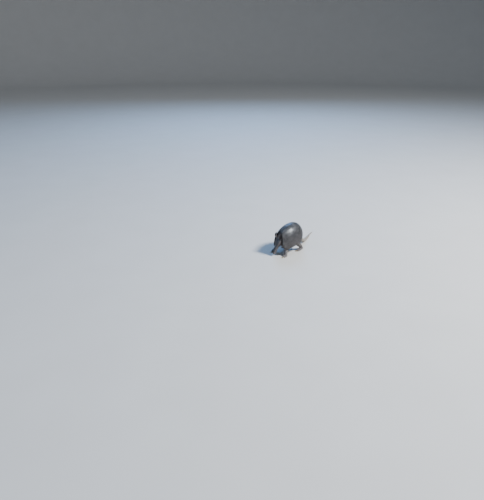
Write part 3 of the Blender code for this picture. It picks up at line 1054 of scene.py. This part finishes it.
def headDetail(point, along, grain):
    local = point - headRoot
    x, y = local.dot(headSide), local.dot(headCrown)
    turn = abs(headTurn(local))
    sign = 1 if x > 0 else -1
    move, pink, dark = grain, 0.18, 0.25
    # the mouth: a groove from the snout's end to below the eye
    if mouth["from"] < along < mouth["to"]:
        lipTurn = mouth["round"] - 0.10 * math.sin(along * 60)
        gap = abs(turn - lipTurn) * rowAt(headTable, along)[0]
        depth = ease((mouth["to"] - along) / 0.006) * ease((along - mouth["from"]) / 0.012)
        move -= mouth["deep"] * depth * bell(gap, mouth["wide"])
        move += 0.0005 * depth * bell(gap - 0.0020, 0.0011)
        # darker in the mouth's groove: painted shade
        dark += 0.65 * depth * bell(gap, mouth["wide"])
    # nostrils, at the snout's end and a little to the side
    for side in (1, -1):
        hole = headRoot + headForward * nostril["along"] + headSide * side * nostril["side"]
        hole += headCrown * nostril["up"]
        far = (point - hole).length
        if far < 0.005:
            move -= nostril["deep"] * bell(far, nostril["wide"])
            move += 0.0006 * bell(far - 0.0025, 0.0007)
            # darker in the nostrils: painted shade
            dark += 1.4 * bell(far, 0.0016, 4)
    move += 0.00035 * bell(along - 0.1165, 0.0026) * (1 if y > -0.002 else 0.2)
    pink += 0.42 * ease((along - 0.100) / 0.018)
    # hollows before and behind the eye, and the cheek under it
    eye = eyePlace(sign)
    far = (point - eye).length
    move -= 0.0007 * bell(far - 0.0078, 0.0022)
    if far < 0.0062:
        pink += 0.06 * ease((0.0062 - far) / 0.002)
        dark += 0.42 * ease((0.0062 - far) / 0.0016)
    cheek = headPoint(0.030, sign * math.radians(112))
    move += 0.0012 * bell((point - cheek).length, 0.011)
    # fine cross folds on the snout
    if along > 0.072:
        ridge = folds(point, 0.0034, along, 0.5)
        move += 0.00022 * (ridge - 0.5) * ease((0.114 - along) / 0.01)
        # darker in the folds: painted shade
        dark += 0.20 * (1 - ridge)
    return move, min(1, pink), min(1, dark)


class Graph:
    # a material's node tree, with short ways to add to it
    def __init__(self, name):
        self.made = bpy.data.materials.new(name)
        self.made.use_nodes = True
        self.tree = self.made.node_tree
        self.shader = self.tree.nodes["Principled BSDF"]
        self.place = self.add("TexCoord", {}, {}).outputs["Object"]

    def add(self, kind, settings, values):
        node = self.tree.nodes.new("ShaderNode" + kind)
        for key, value in settings.items():
            setattr(node, key, value)
        self.fill(node, values)
        return node

    def fill(self, node, values):
        # by an input's name or number: another node's socket, a value, or None to leave it
        for key, value in values.items():
            if isinstance(value, bpy.types.NodeSocket):
                self.tree.links.new(value, node.inputs[key])
            elif value is not None:
                node.inputs[key].default_value = value

    def noise(self, scale, detail=3, rough=0.5):
        values = {"Scale": scale, "Detail": detail, "Roughness": rough, "Vector": self.place}
        return self.add("TexNoise", {}, values).outputs["Fac"]

    def cellular(self, scale, feature="F1"):
        values = {"Scale": scale, "Vector": self.place}
        return self.add("TexVoronoi", {"feature": feature}, values).outputs["Distance"]

    def blend(self, factor, a, b):
        return self.add("Mix", {"data_type": "RGBA"}, {0: factor, 6: a, 7: b}).outputs[2]

    def remap(self, value, low, high, toLow=0.0, toHigh=1.0):
        values = {"Value": value, "From Min": low, "From Max": high, "To Min": toLow, "To Max": toHigh}
        return self.add("MapRange", {}, values).outputs["Result"]

    def maths(self, way, a, b):
        return self.add("Math", {"operation": way}, {0: a, 1: b}).outputs[0]

    def marks(self, name):
        colour = self.add("Attribute", {"attribute_name": name}, {}).outputs["Color"]
        split = self.add("SeparateColor", {}, {"Color": colour})
        return [split.outputs[key] for key in ("Red", "Green", "Blue")]

    def bump(self, height, strength, distance, under=None):
        values = {"Height": height, "Strength": strength, "Distance": distance, "Normal": under}
        return self.add("Bump", {}, values).outputs["Normal"]

    def finish(self, colour, rough, normal=None, **values):
        named = {key.replace("_", " "): value for key, value in values.items()}
        self.fill(self.shader, {"Base Color": colour, "Roughness": rough, "Normal": normal, **named})
        return self.made


# Each kind of scute: its top's pale and warm colours, the grooves, roughness, gloss and brown on the flank.
finishes = {
    # the shell's colours are darker and bluer than the real shell's brown-grey: painted shade and painted sky
    # reflection
    "shell scutes": {
        "pale": (0.031, 0.035, 0.046, 1), "warm": (0.036, 0.033, 0.033, 1), "deep": (0.013, 0.013, 0.015, 1),
        "rough": 0.24, "gloss": 0.68, "flank": 0.78,
    },
    "head scutes": {
        "pale": (0.068, 0.071, 0.084, 1), "warm": (0.062, 0.057, 0.061, 1), "deep": (0.024, 0.023, 0.027, 1),
        "rough": 0.36, "gloss": 0.60, "flank": 0,
    },
    "skin scales": {
        "pale": (0.100, 0.092, 0.097, 1), "warm": (0.090, 0.079, 0.078, 1), "deep": (0.036, 0.032, 0.034, 1),
        "rough": 0.42, "gloss": 0.55, "flank": 0,
    },
    "ear scales": {
        "pale": (0.046, 0.040, 0.043, 1), "warm": (0.048, 0.038, 0.036, 1), "deep": (0.024, 0.019, 0.019, 1),
        "rough": 0.48, "gloss": 0.50, "flank": 0,
    },
    "tail scutes": {
        # the tail's pale colours are partly the real paler tail and partly a painted sky reflection
        "pale": (0.400, 0.372, 0.335, 1), "warm": (0.310, 0.270, 0.218, 1), "deep": (0.160, 0.136, 0.112, 1),
        "rough": 0.38, "gloss": 0.50, "flank": 0,
    },
}


def scuteMaterial(name):
    g = Graph(name)
    pale, warm, deep, rough, gloss, flank = finishes[name].values()
    rise, tone, _ = g.marks("scute")
    cloud = g.noise(38, 4)
    mottle = g.noise(250, 4, 0.62)
    horn = (warm[0] * 1.75, warm[1] * 1.42, warm[2] * 1.05, 1)
    top = g.blend(g.remap(cloud, 0.35, 0.68), pale, warm)
    top = g.blend(g.remap(g.noise(150, 3), 0.50, 0.72, 0, 0.60), top, horn)
    height = g.add("SeparateXYZ", {}, {"Vector": g.place}).outputs["Z"]
    # lower down the shell turns browner, as the real sides are; the bluish grey left on top is painted sky
    # reflection
    top = g.blend(g.remap(height, 0.160, 0.075, 0, flank), top, (0.094, 0.068, 0.058, 1))  # browner low down
    top = g.blend(g.remap(tone, 0, 1, 0, 0.42), top, deep)
    top = g.blend(g.remap(mottle, 0.50, 0.74, 0, 0.60), top, deep)
    scuffs = g.remap(g.noise(900, 2, 0.7), 0.45, 0.75)
    top = g.blend(g.maths("MULTIPLY", scuffs, 0.10), top, (0.30, 0.28, 0.26, 1))
    colour = g.blend(g.remap(rise, 0.30, 0.85), deep, top)
    wear = g.maths("MULTIPLY", g.remap(rise, 0.88, 1.0), 0.12)
    colour = g.blend(wear, colour, (0.28, 0.255, 0.225, 1))
    grain = g.bump(g.noise(1400, 3, 0.65), 0.40, 0.0002)
    grain = g.bump(g.noise(260, 2), 0.30, 0.0004, grain)
    dull = g.remap(cloud, 0.3, 0.7, rough - 0.07, rough + 0.08)
    dull = g.maths("ADD", dull, g.remap(mottle, 0.42, 0.70, 0, 0.20))
    return g.finish(colour, dull, grain, Specular_IOR_Level=gloss)


def plateMaterial(name, dark, pale):
    g = Graph(name)
    dirt = g.remap(g.noise(150, 4), 0.35, 0.7)
    colour = g.blend(dirt, dark, pale)
    return g.finish(colour, g.remap(dirt, 0, 1, 0.55, 0.75), g.bump(g.noise(900, 3), 0.5, 0.0003))


def skinMaterial():
    g = Graph("skin")
    pink, dark, hollow = g.marks("skin")
    cloud = g.remap(g.noise(60, 4), 0.32, 0.70)
    grey = g.blend(cloud, (0.066, 0.058, 0.060, 1), (0.108, 0.094, 0.094, 1))
    rosy = g.blend(cloud, (0.185, 0.130, 0.120, 1), (0.250, 0.182, 0.166, 1))
    colour = g.blend(pink, grey, rosy)
    spots = g.remap(g.cellular(700), 0.0, 0.55, 0.0, 0.30)
    colour = g.blend(spots, colour, g.blend(0.5, colour, (0.35, 0.28, 0.24, 1)))
    # darker where the dark mark is high, which holds painted shade in the folds, the mouth and the nostrils
    colour = g.blend(g.maths("MULTIPLY", dark, 0.85), colour, (0.028, 0.020, 0.018, 1))
    # near black in the ear's hollow: painted shade
    colour = g.blend(hollow, colour, (0.015, 0.011, 0.011, 1))
    pores = g.bump(g.cellular(950, "DISTANCE_TO_EDGE"), 0.45, 0.0003)
    lines = g.bump(g.noise(330, 4, 0.6), 0.40, 0.0006, pores)
    rough = g.remap(g.noise(90, 3), 0.3, 0.7, 0.46, 0.64)
    rough = g.maths("ADD", rough, g.maths("MULTIPLY", hollow, 0.22))
    return g.finish(colour, rough, lines, Subsurface_Weight=0.06, Subsurface_Scale=0.003)


def clawMaterial():
    g = Graph("claw")
    along, _, _ = g.marks("claw")
    fine = g.remap(g.noise(520, 3, 0.6), 0.3, 0.7)
    base = g.blend(fine, (0.150, 0.105, 0.068, 1), (0.235, 0.175, 0.115, 1))
    tip = g.blend(fine, (0.400, 0.325, 0.215, 1), (0.500, 0.420, 0.300, 1))
    colour = g.blend(g.remap(along, 0.1, 0.85), base, tip)
    return g.finish(colour, g.remap(fine, 0, 1, 0.28, 0.42), g.bump(fine, 0.25, 0.0002))


def eyeMaterial():
    g = Graph("eye")
    ring, _, _ = g.marks("eye")
    fine = g.noise(1600, 3, 0.6)
    brown = g.blend(g.remap(fine, 0.35, 0.65), (0.006, 0.003, 0.002, 1), (0.020, 0.010, 0.005, 1))
    colour = g.blend(g.remap(ring, 0.40, 0.46), (0.001, 0.001, 0.001, 1), brown)
    colour = g.blend(g.remap(ring, 0.86, 0.95), colour, (0.012, 0.008, 0.007, 1))
    rough = g.remap(fine, 0, 1, 0.10, 0.18)
    return g.finish(colour, rough, None, Specular_IOR_Level=0.1, Coat_Weight=0.45, Coat_Roughness=0.03)


def hairMaterial():
    g = Graph("hair")
    fine = g.remap(g.noise(130, 2), 0.3, 0.7)
    colour = g.blend(fine, (0.42, 0.36, 0.26, 1), (0.62, 0.56, 0.45, 1))
    return g.finish(colour, g.remap(fine, 0, 1, 0.42, 0.55))


print("shell plates", flush=True)
plateLook = plateMaterial("plate ground", (0.016, 0.015, 0.016, 1), (0.034, 0.030, 0.029, 1))
plate("shoulderPlate", "shoulder_shield", shoulderFront, shoulderBack, 24, plates["sink"])
plate("hipPlate", "hip_shield", hipFront, hipBack, 32, plates["sink"])
for bandNumber in range(bands["count"]):
    bandFront = bands["from"] + bandNumber * bandPitch
    bandBack = bandFront + bandPitch - bands["gap"]
    plate(
        f"bandPlate{bandNumber + 1}", f"band_{bandNumber + 1}", lambda across, at=bandFront: at,
        lambda across, at=bandBack: at, 3, plates["bandSink"], bands["step"],
    )

# Each kind of scute: depth of its root, rings of inset and rise, rise of its middle.
shellLook = scuteMaterial("shell scutes")
shellShape = {
    "large": (0.0006, [(0.00013, 0.00068), (0.00042, 0.00012), (0.00022, 0.00001)], None),
    "small": (0.0006, [(0.00020, 0.00068)], 0.00010),
}
shellRound = {"large": 1.10, "small": 1.50}
for shieldName, shieldFront, shieldBack in (
    ("shoulderScutes", shoulderFront, shoulderBack),
    ("hipScutes", hipFront, hipBack),
):
    shieldSet, shieldGhosts = shieldSeeds(shieldFront, shieldBack)
    shieldCells = cells(shieldSet, shieldGhosts, 0.0064, 0.00032, shellRound)
    print(shieldName, len(shieldCells), flush=True)
    scuteCoat(shieldName, shieldCells, shellShape, "shell", shellLook)
bandShape = {
    "large": (0.0004, [(0.00014, 0.00064), (0.00038, 0.00011), (0.00010, 0.00001)], None),
    "small": (0.0004, [(0.00014, 0.00050), (0.00030, 0.00008)], None),
}
bandSet = [cell for number in range(bands["count"]) for cell in bandCells(number)]
scuteCoat("bandScutes", bandSet, bandShape, "shell", shellLook)

skin = skinPiece(skinMaterial())
skinTris = sum(len(polygon.vertices) - 2 for polygon in skin.data.polygons)
print("skin", skinTris, flush=True)

# the head shield: where it lies along the head, its plate, the pitch of its scutes, their rows as a
# share of it, and how much each is moved at random
crown = {
    "from": 0.020, "to": 0.068, "thick": 0.0012, "round": 0.0004, "pitch": 0.0045, "rows": 0.9,
    "turnBy": 0.035, "placeBy": 0.0006,
}


def crownShare(at):
    return (at - crown["from"]) / (crown["to"] - crown["from"])


def crownSpread(along):
    return math.radians(60 * (1 - 0.45 * along - 0.20 * along**3))


def crownBow(across, along):
    return 0.004 * (1 - across**2) * (along - 0.5)


def crownPlace(across, along, face):
    at = crown["from"] + (crown["to"] - crown["from"]) * along + crownBow(across, along)
    return headPoint(at, across * crownSpread(along), 0.0002 + (crown["thick"] - 0.0002) * (1 - face))


def crownSurface(at, turn):
    return headPoint(at, turn, crown["thick"])


def crownUnwrap(at, turn):
    along = crownShare(at)
    return 0.5 + 0.45 * turn / crownSpread(max(0, along)), 0.05 + 0.9 * along


def headShield(scuteLook):
    bm = bmesh.new()
    thickSheet(bm, 40, 32, crownPlace)
    roundEdges(bm, crown["round"])
    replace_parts(finishMesh("headShieldPlate", bm, "head_shield", plateLook), "head_shield")
    pitch = crown["pitch"]
    seeds, ghosts = [], []
    for row in range(-1, 13):
        at = crown["from"] + (row + 0.4) * pitch * crown["rows"]
        width = rowAt(headTable, at)[0]
        for i in range(-9, 10):
            turn = (i + 0.5 * (row % 2)) * pitch / width
            turn += dice.uniform(-crown["turnBy"], crown["turnBy"])
            place = at + dice.uniform(-crown["placeBy"], crown["placeBy"])
            along = crownShare(place)
            across = turn / crownSpread(clamp(along))
            bow = crownBow(min(1, abs(across)), along)
            along = crownShare(place - bow)
            if abs(turn) > 1.6:
                continue
            radius = pitch * 0.5 * dice.uniform(0.9, 1.1)
            seed = seedOn(crownSurface, place, turn, radius, "large", headAway, crownUnwrap)
            held = 0.035 < along < 0.965 and abs(across) < 0.95
            (seeds if held else ghosts).append(seed)
    shape = {"large": (0.0003, [(0.00012, 0.00052), (0.00040, 0.00013)], 0.00004)}
    found = cells(seeds, ghosts, 0.011, 0.00030, {"large": 1.4})
    scuteCoat("headShieldScutes", found, shape, "head_shield", scuteLook)


print("head shield", flush=True)
headShield(scuteMaterial("head scutes"))


def limbUnwrap(point, normal):
    _, number, share = nearestLimb(point)
    centre = limbRows[number][1][share]
    turn = math.atan2(point.x - centre.x, (point - centre).y + (point - centre).z)
    return (number + 0.5 + 0.42 * turn / math.pi) / len(limbRows), 0.04 + 0.92 * share + 0.05 * math.sin(turn)


def headUnwrap(point, normal):
    local = point - headRoot
    turn = headTurn(local)
    return 0.5 + 0.46 * turn / math.pi, 0.10 + 0.80 * (local.dot(headForward) + 0.03) / 0.155


def earUnwrap(point, normal):
    side = 0.25 if point.x < headRoot.x else 0.75
    centre = headPoint(ears["along"], ears["round"] * (1 if side > 0.5 else -1))
    face = 0.25 if normal.y > 0 else 0.75
    return side + (point.x - centre.x) * 7, face + (point.z - centre.z - 0.017) * 9


def tailUnwrap(point, normal):
    centre = tailAway(point)
    turn = math.atan2(point.x - centre.x, point.z - centre.z)
    return 0.5 + 0.46 * turn / math.pi, 0.04 + 0.92 * (point.y - middle.y - 0.07) / 0.30


def bellyUnwrap(point, normal):
    return 0.5 + (point.x - middle.x) * 5.5, 0.5 + (point.y - middle.y + 0.035) * 4.5


def scatter(regions, spacing, unwrap):
    # seeds all over some of the skin's regions. spacing gives each one's pitch, radius and kind, or None
    verts = skin.data.vertices
    order = list(range(len(verts)))
    dice.shuffle(order)
    grid, seeds = {}, []
    size = 0.004  # of a cell of the grid, more than any pitch but the belly's and the hairs'
    for number in order:
        region, share = regionOf(verts[number].co)
        if region not in regions:
            continue
        point, normal = verts[number].co, verts[number].normal
        chosen = spacing(region, share, point, normal)
        if not chosen:
            continue
        pitch, radius, kind = chosen
        cell = tuple(int(value // size) for value in point)
        around = itertools.product(*((value - 1, value, value + 1) for value in cell))
        if any(crowded(point, grid.get(spot, ()), pitch) for spot in around):
            continue
        grid.setdefault(cell, []).append(point.copy())
        across = normal.cross(upward if abs(normal.z) < 0.9 else Vector((0, 1, 0))).normalized()
        radius *= dice.uniform(0.88, 1.12)
        seeds.append(Seed(point.copy(), normal.copy(), across, radius, kind, unwrap(point, normal)))
    return seeds


def legSpacing(region, share, point, normal):
    if normal.z < -0.55 or point.z < 0.0035:
        return None
    if region == "leg" and abs(point.x - middle.x) < 0.030 and point.z > 0.045:
        return None
    return (0.0021, 0.00135, "small") if region == "foot" else (0.0026, 0.0017, "small")


def headSpacing(region, share, point, normal):
    local = point - headRoot
    turn = abs(headTurn(local))
    along = crownShare(share)
    if -0.06 < along < 1.06 and turn < crownSpread(clamp(along)) * 1.03:
        return None
    if share > (0.1165 if turn < 1.4 else 0.113) or turn > 2.75:
        return None
    eye = eyePlace(math.copysign(1, local.dot(headSide)))
    far = (point - eye).length
    if far < 0.0062:
        return None
    if 0.05 < share and 1.94 < turn < 2.18:
        return None
    if share < 0.066:
        return (0.0025, 0.0016, "small") if far > 0.009 else (0.0016, 0.00100, "tiny")
    fine = ease((share - 0.09) / 0.02)
    return 0.0018 - 0.0006 * fine, 0.00110 - 0.0004 * fine, "tiny"


def neckSpacing(region, share, point, normal):
    top = ease(((point - headRoot).dot(headCrown) + 0.005) / 0.02)
    return 0.0022 + 0.0012 * top, 0.0013 + 0.0008 * top, "small"


def rumpSpacing(region, share, point, normal):
    return 0.0030, 0.0018, "small"


def bellySpacing(region, share, point, normal):
    if point.z > 0.058:
        return None
    return 0.0056, 0.0011, "tiny"


def earSpacing(region, share, point, normal):
    if earInside(point, normal) > 0.9:
        return None
    return 0.00130, 0.00092, "fine"


def tailSpacing(region, share, point, normal):
    if point.y < tailSpot(0.6, 0).y + 0.001 or normal.z < -0.8:
        return None
    thin = ease((point.y - tailSpot(0.6, 0).y) / 0.13)
    return 0.0025 - 0.0010 * thin, 0.0016 - 0.0007 * thin, "small"


scaleShape = {
    "small": (0.00036, [(0.00028, 0.00054)], 0.00007),
    "tiny": (0.00030, [(0.00022, 0.00042)], 0.00005),
    "fine": (0.00022, [(0.00016, 0.00032)], 0.00004),
}
coatRound = {"small": 1.45, "tiny": 1.30, "fine": 1.20}
scaleLook = scuteMaterial("skin scales")
earLook = scuteMaterial("ear scales")
tailLook = scuteMaterial("tail scutes")
# Each coat: piece, regions, spacing, unwrap, how far neighbours are looked for, slot, material.
for coatName, coatRegions, coatSpacing, coatUnwrap, coatReach, coatSlot, coatLook in (
    ("legScales", ("leg", "foot"), legSpacing, limbUnwrap, 0.0042, "skin", scaleLook),
    ("headScales", ("head",), headSpacing, headUnwrap, 0.0040, "skin", scaleLook),
    ("neckScales", ("neck",), neckSpacing, headUnwrap, 0.0052, "skin", scaleLook),
    ("rumpScales", ("rump",), rumpSpacing, bellyUnwrap, 0.0046, "skin", scaleLook),
    ("bellyScales", ("belly",), bellySpacing, bellyUnwrap, 0.0034, "skin", scaleLook),
    ("earScales", ("ear",), earSpacing, earUnwrap, 0.0020, "ear", earLook),
    ("tailScales", ("tail",), tailSpacing, tailUnwrap, 0.0040, "tail", tailLook),
):
    coatSeeds = scatter(coatRegions, coatSpacing, coatUnwrap)
    coatCells = cells(coatSeeds, [], coatReach, 0.00020, coatRound, 8)
    scuteCoat(coatName, coatCells, scaleShape, coatSlot, coatLook)
    print(coatName, len(coatCells), flush=True)

# the tail's armour rings: how many, how far down, gaps before and after, how proud, width of a scute
tailRing = {"count": 14, "to": 0.60, "before": 0.0012, "after": 0.0010, "proud": 0.0006, "width": 0.0056}
ringPitch = tailRing["to"] / tailRing["count"]
ringProfile = (
    (0, -0.0014), (0, -0.0006), (0.08, -0.0004), (0.5, -0.0001), (0.94, 0.0002), (1, 0.0), (1, -0.0010)
)  # share of a ring's length, height
ringRows = ((-0.14, None), (0.17, "small"), (0.66, "large"), (1.16, None))


def ringOut(share, number):
    # each ring stands proud towards its back edge
    return tailRing["proud"] * (share - number * ringPitch) / ringPitch


def ringEnds(number):
    return number * ringPitch + tailRing["before"], (number + 1) * ringPitch - tailRing["after"]


def tailRings():
    bm = bmesh.new()
    for number in range(tailRing["count"]):
        first, last = ringEnds(number)
        outer = []
        for along, out in ringProfile:
            share = first + (last - first) * along
            flare = ringOut(share, number)
            outer.append([tailSpot(share, turn, out + flare) for turn in turns(40)])
        loft(bm, outer)
    # the tail ground is pale partly as the real tail is and partly as a painted sky reflection
    look = plateMaterial("tail ground", (0.075, 0.063, 0.054, 1), (0.145, 0.122, 0.102, 1))
    finishMesh("tailRings", bm, "tail", look)


def tailScutes(look):
    found = []
    for number in range(tailRing["count"]):
        seeds, ghosts = [], []
        first, last = ringEnds(number)
        radius = rowAt(tailTable, (first + last) / 2)[3]
        around = max(9, round(2 * math.pi * radius / tailRing["width"]))

        def surface(share, turn, number=number):
            return tailSpot(share, turn, ringOut(share, number))

        def unwrap(share, turn):
            return 0.5 + 0.48 * (turn - math.pi) / math.pi, 0.04 + 0.92 * share / tailRing["to"]

        for row, (along, kind) in enumerate(ringRows):
            share = first + (last - first) * along
            for i in range(around):
                turn = 2 * math.pi * (i + 0.5 * (row % 2)) / around
                point = surface(share, turn)
                if point.z < 0.0006 and kind:
                    continue
                reach = math.pi * radius / around * (1.12 if kind == "large" else 0.85)
                seed = seedOn(surface, share, turn, reach, kind or "large", tailAway, unwrap)
                (seeds if kind else ghosts).append(seed)
        found += cells(seeds, ghosts, 0.013, 0.00034, {"large": 1.45, "small": 1.45})
    shape = {
        "large": (0.0004, [(0.00016, 0.00072), (0.00060, 0.00022)], 0.00028),
        "small": (0.0004, [(0.00016, 0.00062), (0.00040, 0.00010)], 0.00006),
    }
    scuteCoat("tailScutes", found, shape, "tail", look)


print("tail", flush=True)
tailRings()
tailScutes(tailLook)

# claws: height of each foot's arch, depth in the toe, height of the tip, and the hollow under it
claws = {"arches": {"forefoot": 0.0035, "hindfoot": 0.0020}, "sunk": 0.0025, "tip": 0.0012, "hollow": 0.55}


def claw(name, node, toe, arch):
    tip, way, width, length = toe
    root = tip - way * claws["sunk"]
    reach = way * length + upward * (claws["tip"] - root.z + arch)
    sizes = []
    for share in evenly(0, 1, 15):
        wide = 0.62 - 0.10 * share - 0.36 * share**2.2 - 0.13 * ease((share - 0.9) / 0.1)
        sizes.append((width * max(0.02, wide), width * max(0.02, wide) * 1.05))
    bm = bmesh.new()
    marks = bm.verts.layers.float_color.new("claw")
    loft(bm, stem(root, reach, sizes, 16, arch))
    tone = dice.random()
    for vert in bm.verts:
        share = clamp((vert.co - root).dot(way) / length)
        vert[marks] = (share, 0, tone, 1)
        centre = root + reach * share - upward * arch * share**2
        if vert.co.z < centre.z:
            vert.co.z = centre.z + (vert.co.z - centre.z) * claws["hollow"]
        vert.co.z = max(0.0002, vert.co.z)
    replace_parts(finishMesh(name, bm, "claw", clawLook), node)


print("claws and eyes", flush=True)
clawLook = clawMaterial()
for clawSide, clawSign in sides:
    for clawKind, clawArch in claws["arches"].items():
        for clawNumber, clawToe in enumerate(toeSpots(clawKind, clawSide, clawSign), 1):
            clawName = f"claw{clawKind.title()}{clawSide.title()}{clawNumber}"
            claw(clawName, f"claw_{clawKind}_{clawSide}_{clawNumber}", clawToe, clawArch)
eyeLook = eyeMaterial()
for eyeName, eyeSign in sides:
    eyeCentre = eyePlace(eyeSign, -eyeSizes["sink"])
    eyeOut = (eyeCentre - headAway(eyeCentre)).normalized()
    turnTo = eyeOut.to_track_quat("Z", "Y").to_matrix().to_4x4()
    bm = bmesh.new()
    shade = bm.verts.layers.float_color.new("eye")
    bmesh.ops.create_uvsphere(bm, u_segments=48, v_segments=32, radius=eyeSizes["radius"])
    for vert in bm.verts:
        # the iris is a shallow dish in the ball
        flat = math.hypot(vert.co.x, vert.co.y)
        if vert.co.z > 0 and flat < eyeSizes["iris"]:
            vert.co.z -= 0.00022 * ease((eyeSizes["iris"] - flat) / 0.0004)
        vert[shade] = (min(1, flat / eyeSizes["iris"]) if vert.co.z > 0 else 1, 0, 0, 1)
    bm.transform(Matrix.Translation(eyeCentre) @ turnTo)
    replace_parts(finishMesh(f"eyeBall{eyeName.title()}", bm, "eye", eyeLook), f"eye_{eyeName}")

# sparse hairs: radii at root and tip, rings along, droop as a share of length, least height, and how
# far apart they stand in each region
hair = {"root": 0.00016, "tip": 0.00004, "cuts": 3, "droop": 0.28, "floor": 0.0003}
hairPitch = {"belly": 0.0062, "leg": 0.0058, "foot": 0.0075, "head": 0.0060}


def hairs(roots):
    # roots: point, lie, length, place on the unwrap
    bm = bmesh.new()
    which = bm.faces.layers.int.new("hair")
    uvs = bm.loops.layers.uv.new("OFBake")
    for number, (point, lie, length, _) in enumerate(roots):
        turn = lie.to_track_quat("Z", "Y").to_matrix().to_4x4()
        made = bmesh.ops.create_cone(
            bm, cap_ends=True, segments=3, radius1=hair["root"], radius2=hair["tip"], depth=length,
            matrix=Matrix.Translation(point + lie * length * 0.46) @ turn,
        )["verts"]
        for face in {face for vert in made for face in vert.link_faces}:
            face[which] = number
    sides = [edge for edge in bm.edges if edge.calc_length() > 0.0015]
    bmesh.ops.subdivide_edges(bm, edges=sides, cuts=hair["cuts"], use_grid_fill=False)
    bent = set()
    for face in bm.faces:
        point, lie, length, uv = roots[face[which]]
        for corner, loop in enumerate(face.loops):
            if loop.vert not in bent:
                bent.add(loop.vert)
                share = clamp((loop.vert.co - point).dot(lie) / length)
                loop.vert.co -= upward * length * hair["droop"] * share**2
                loop.vert.co.z = max(hair["floor"], loop.vert.co.z)
            loop[uvs].uv = (uv[0] + 0.001 * (corner % 3), uv[1] + 0.001 * (corner % 2))
    plainMesh("hairs", bm, "skin", hairMaterial())


def hairSpacing(region, share, point, normal):
    kept = {
        "belly": point.z < 0.060,
        "leg": True,
        "foot": normal.z > -0.2 and point.z > 0.006,
        "head": abs(headTurn(point - headRoot)) > 1.35 and share < 0.10,
    }
    return (hairPitch[region], 1, "hair") if kept[region] else None


hairRoots = []
for seed in scatter(hairPitch, hairSpacing, bellyUnwrap):
    region, share = regionOf(seed.point)
    lie = Vector((dice.uniform(-0.25, 0.25), 0.75, -0.25 + dice.uniform(-0.2, 0.2)))
    if region == "head":
        lie = -headForward + Vector((dice.uniform(-0.2, 0.2), 0, 0))
    lie = (lie.normalized() + seed.normal * 0.65).normalized()
    length = dice.uniform(0.0035, 0.0060) if region in ("head", "foot") else dice.uniform(0.006, 0.011)
    if seed.point.z < length * 0.5 and region != "foot":
        continue
    hairRoots.append((seed.point, lie, length, seed.uv))
print("hairs", len(hairRoots), flush=True)
hairs(hairRoots)
print("floor, lamps and camera", flush=True)

# the floor bends up into a wall all round: metres
floorSizes = {"radius": 14, "bend": 4, "wall": 14, "steps": 12}
floorProfile = []
for step in range(floorSizes["steps"]):
    bend = math.pi / 2 * (step + 1) / floorSizes["steps"]
    reach = floorSizes["radius"] + floorSizes["bend"] * math.sin(bend)
    floorProfile.append((reach, floorSizes["bend"] * (1 - math.cos(bend))))
floorProfile.append((floorSizes["radius"] + floorSizes["bend"], floorSizes["wall"]))
bm = bmesh.new()
bmesh.ops.create_circle(bm, cap_ends=True, segments=96, radius=floorSizes["radius"])
rimEdges = list(bm.edges)
for reach, height in floorProfile:
    made = bmesh.ops.extrude_edge_only(bm, edges=rimEdges)["geom"]
    rimEdges = [part for part in made if isinstance(part, bmesh.types.BMEdge)]
    for vert in [part for part in made if isinstance(part, bmesh.types.BMVert)]:
        vert.co = Vector((vert.co.x, vert.co.y, 0)).normalized() * reach + upward * height
bmesh.ops.recalc_face_normals(bm, faces=bm.faces)
if sum(face.normal.z for face in bm.faces) < 0:
    bmesh.ops.reverse_faces(bm, faces=bm.faces)
g = Graph("pale floor")
floorColour = g.blend(g.noise(3, 2), (0.450, 0.420, 0.388, 1), (0.490, 0.460, 0.428, 1))
floorLook = g.finish(floorColour, g.remap(g.noise(7, 2), 0, 1, 0.72, 0.82))
floor = plainMesh("floor", bm, None, floorLook)

# round soft lamps: metres and watts
lampTarget = Vector((0, 0, 0.1))
lamps = {
    "key": {"place": (3.96, 1.87, 4.83), "size": 1.54, "power": 1200, "colour": (0.90, 0.955, 1.0)},
    "fill": {"place": (-1.76, -6.38, 4.28), "size": 4.8, "power": 205, "colour": (0.36, 0.60, 1.0)},
    "rim": {"place": (-4.40, 4.18, 4.72), "size": 3.5, "power": 500, "colour": (0.26, 0.52, 1.0)},
}
for lampName, lamp in lamps.items():
    lampData = bpy.data.lights.new(lampName, "AREA")
    lampData.shape = "DISK"
    lampData.size = lamp["size"]
    lampData.energy = lamp["power"]
    lampData.color = lamp["colour"]
    light = bpy.data.objects.new(lampName, lampData)
    light.location = lamp["place"]
    light.rotation_euler = (lampTarget - Vector(lamp["place"])).to_track_quat("-Z", "Y").to_euler()
    bpy.context.scene.collection.objects.link(light)
sky = {"colour": (0.66, 0.81, 1.0, 1), "strength": 0.36}
world = bpy.data.worlds.new("studio")
world.use_nodes = True
background = world.node_tree.nodes["Background"]
background.inputs["Color"].default_value = sky["colour"]
background.inputs["Strength"].default_value = sky["strength"]
bpy.context.scene.world = world

# metres, degrees from straight down and round, millimetres
view = {"place": (1.8713, -2.4898, 1.33), "tilt": 66.10, "turn": 44.356, "lens": 33.84}
camera = bpy.data.objects.new("camera", bpy.data.cameras.new("camera"))
camera.data.lens = view["lens"]
camera.location = view["place"]
camera.rotation_euler = (math.radians(view["tilt"]), 0, math.radians(view["turn"]))
bpy.context.scene.collection.objects.link(camera)
bpy.context.scene.camera = camera
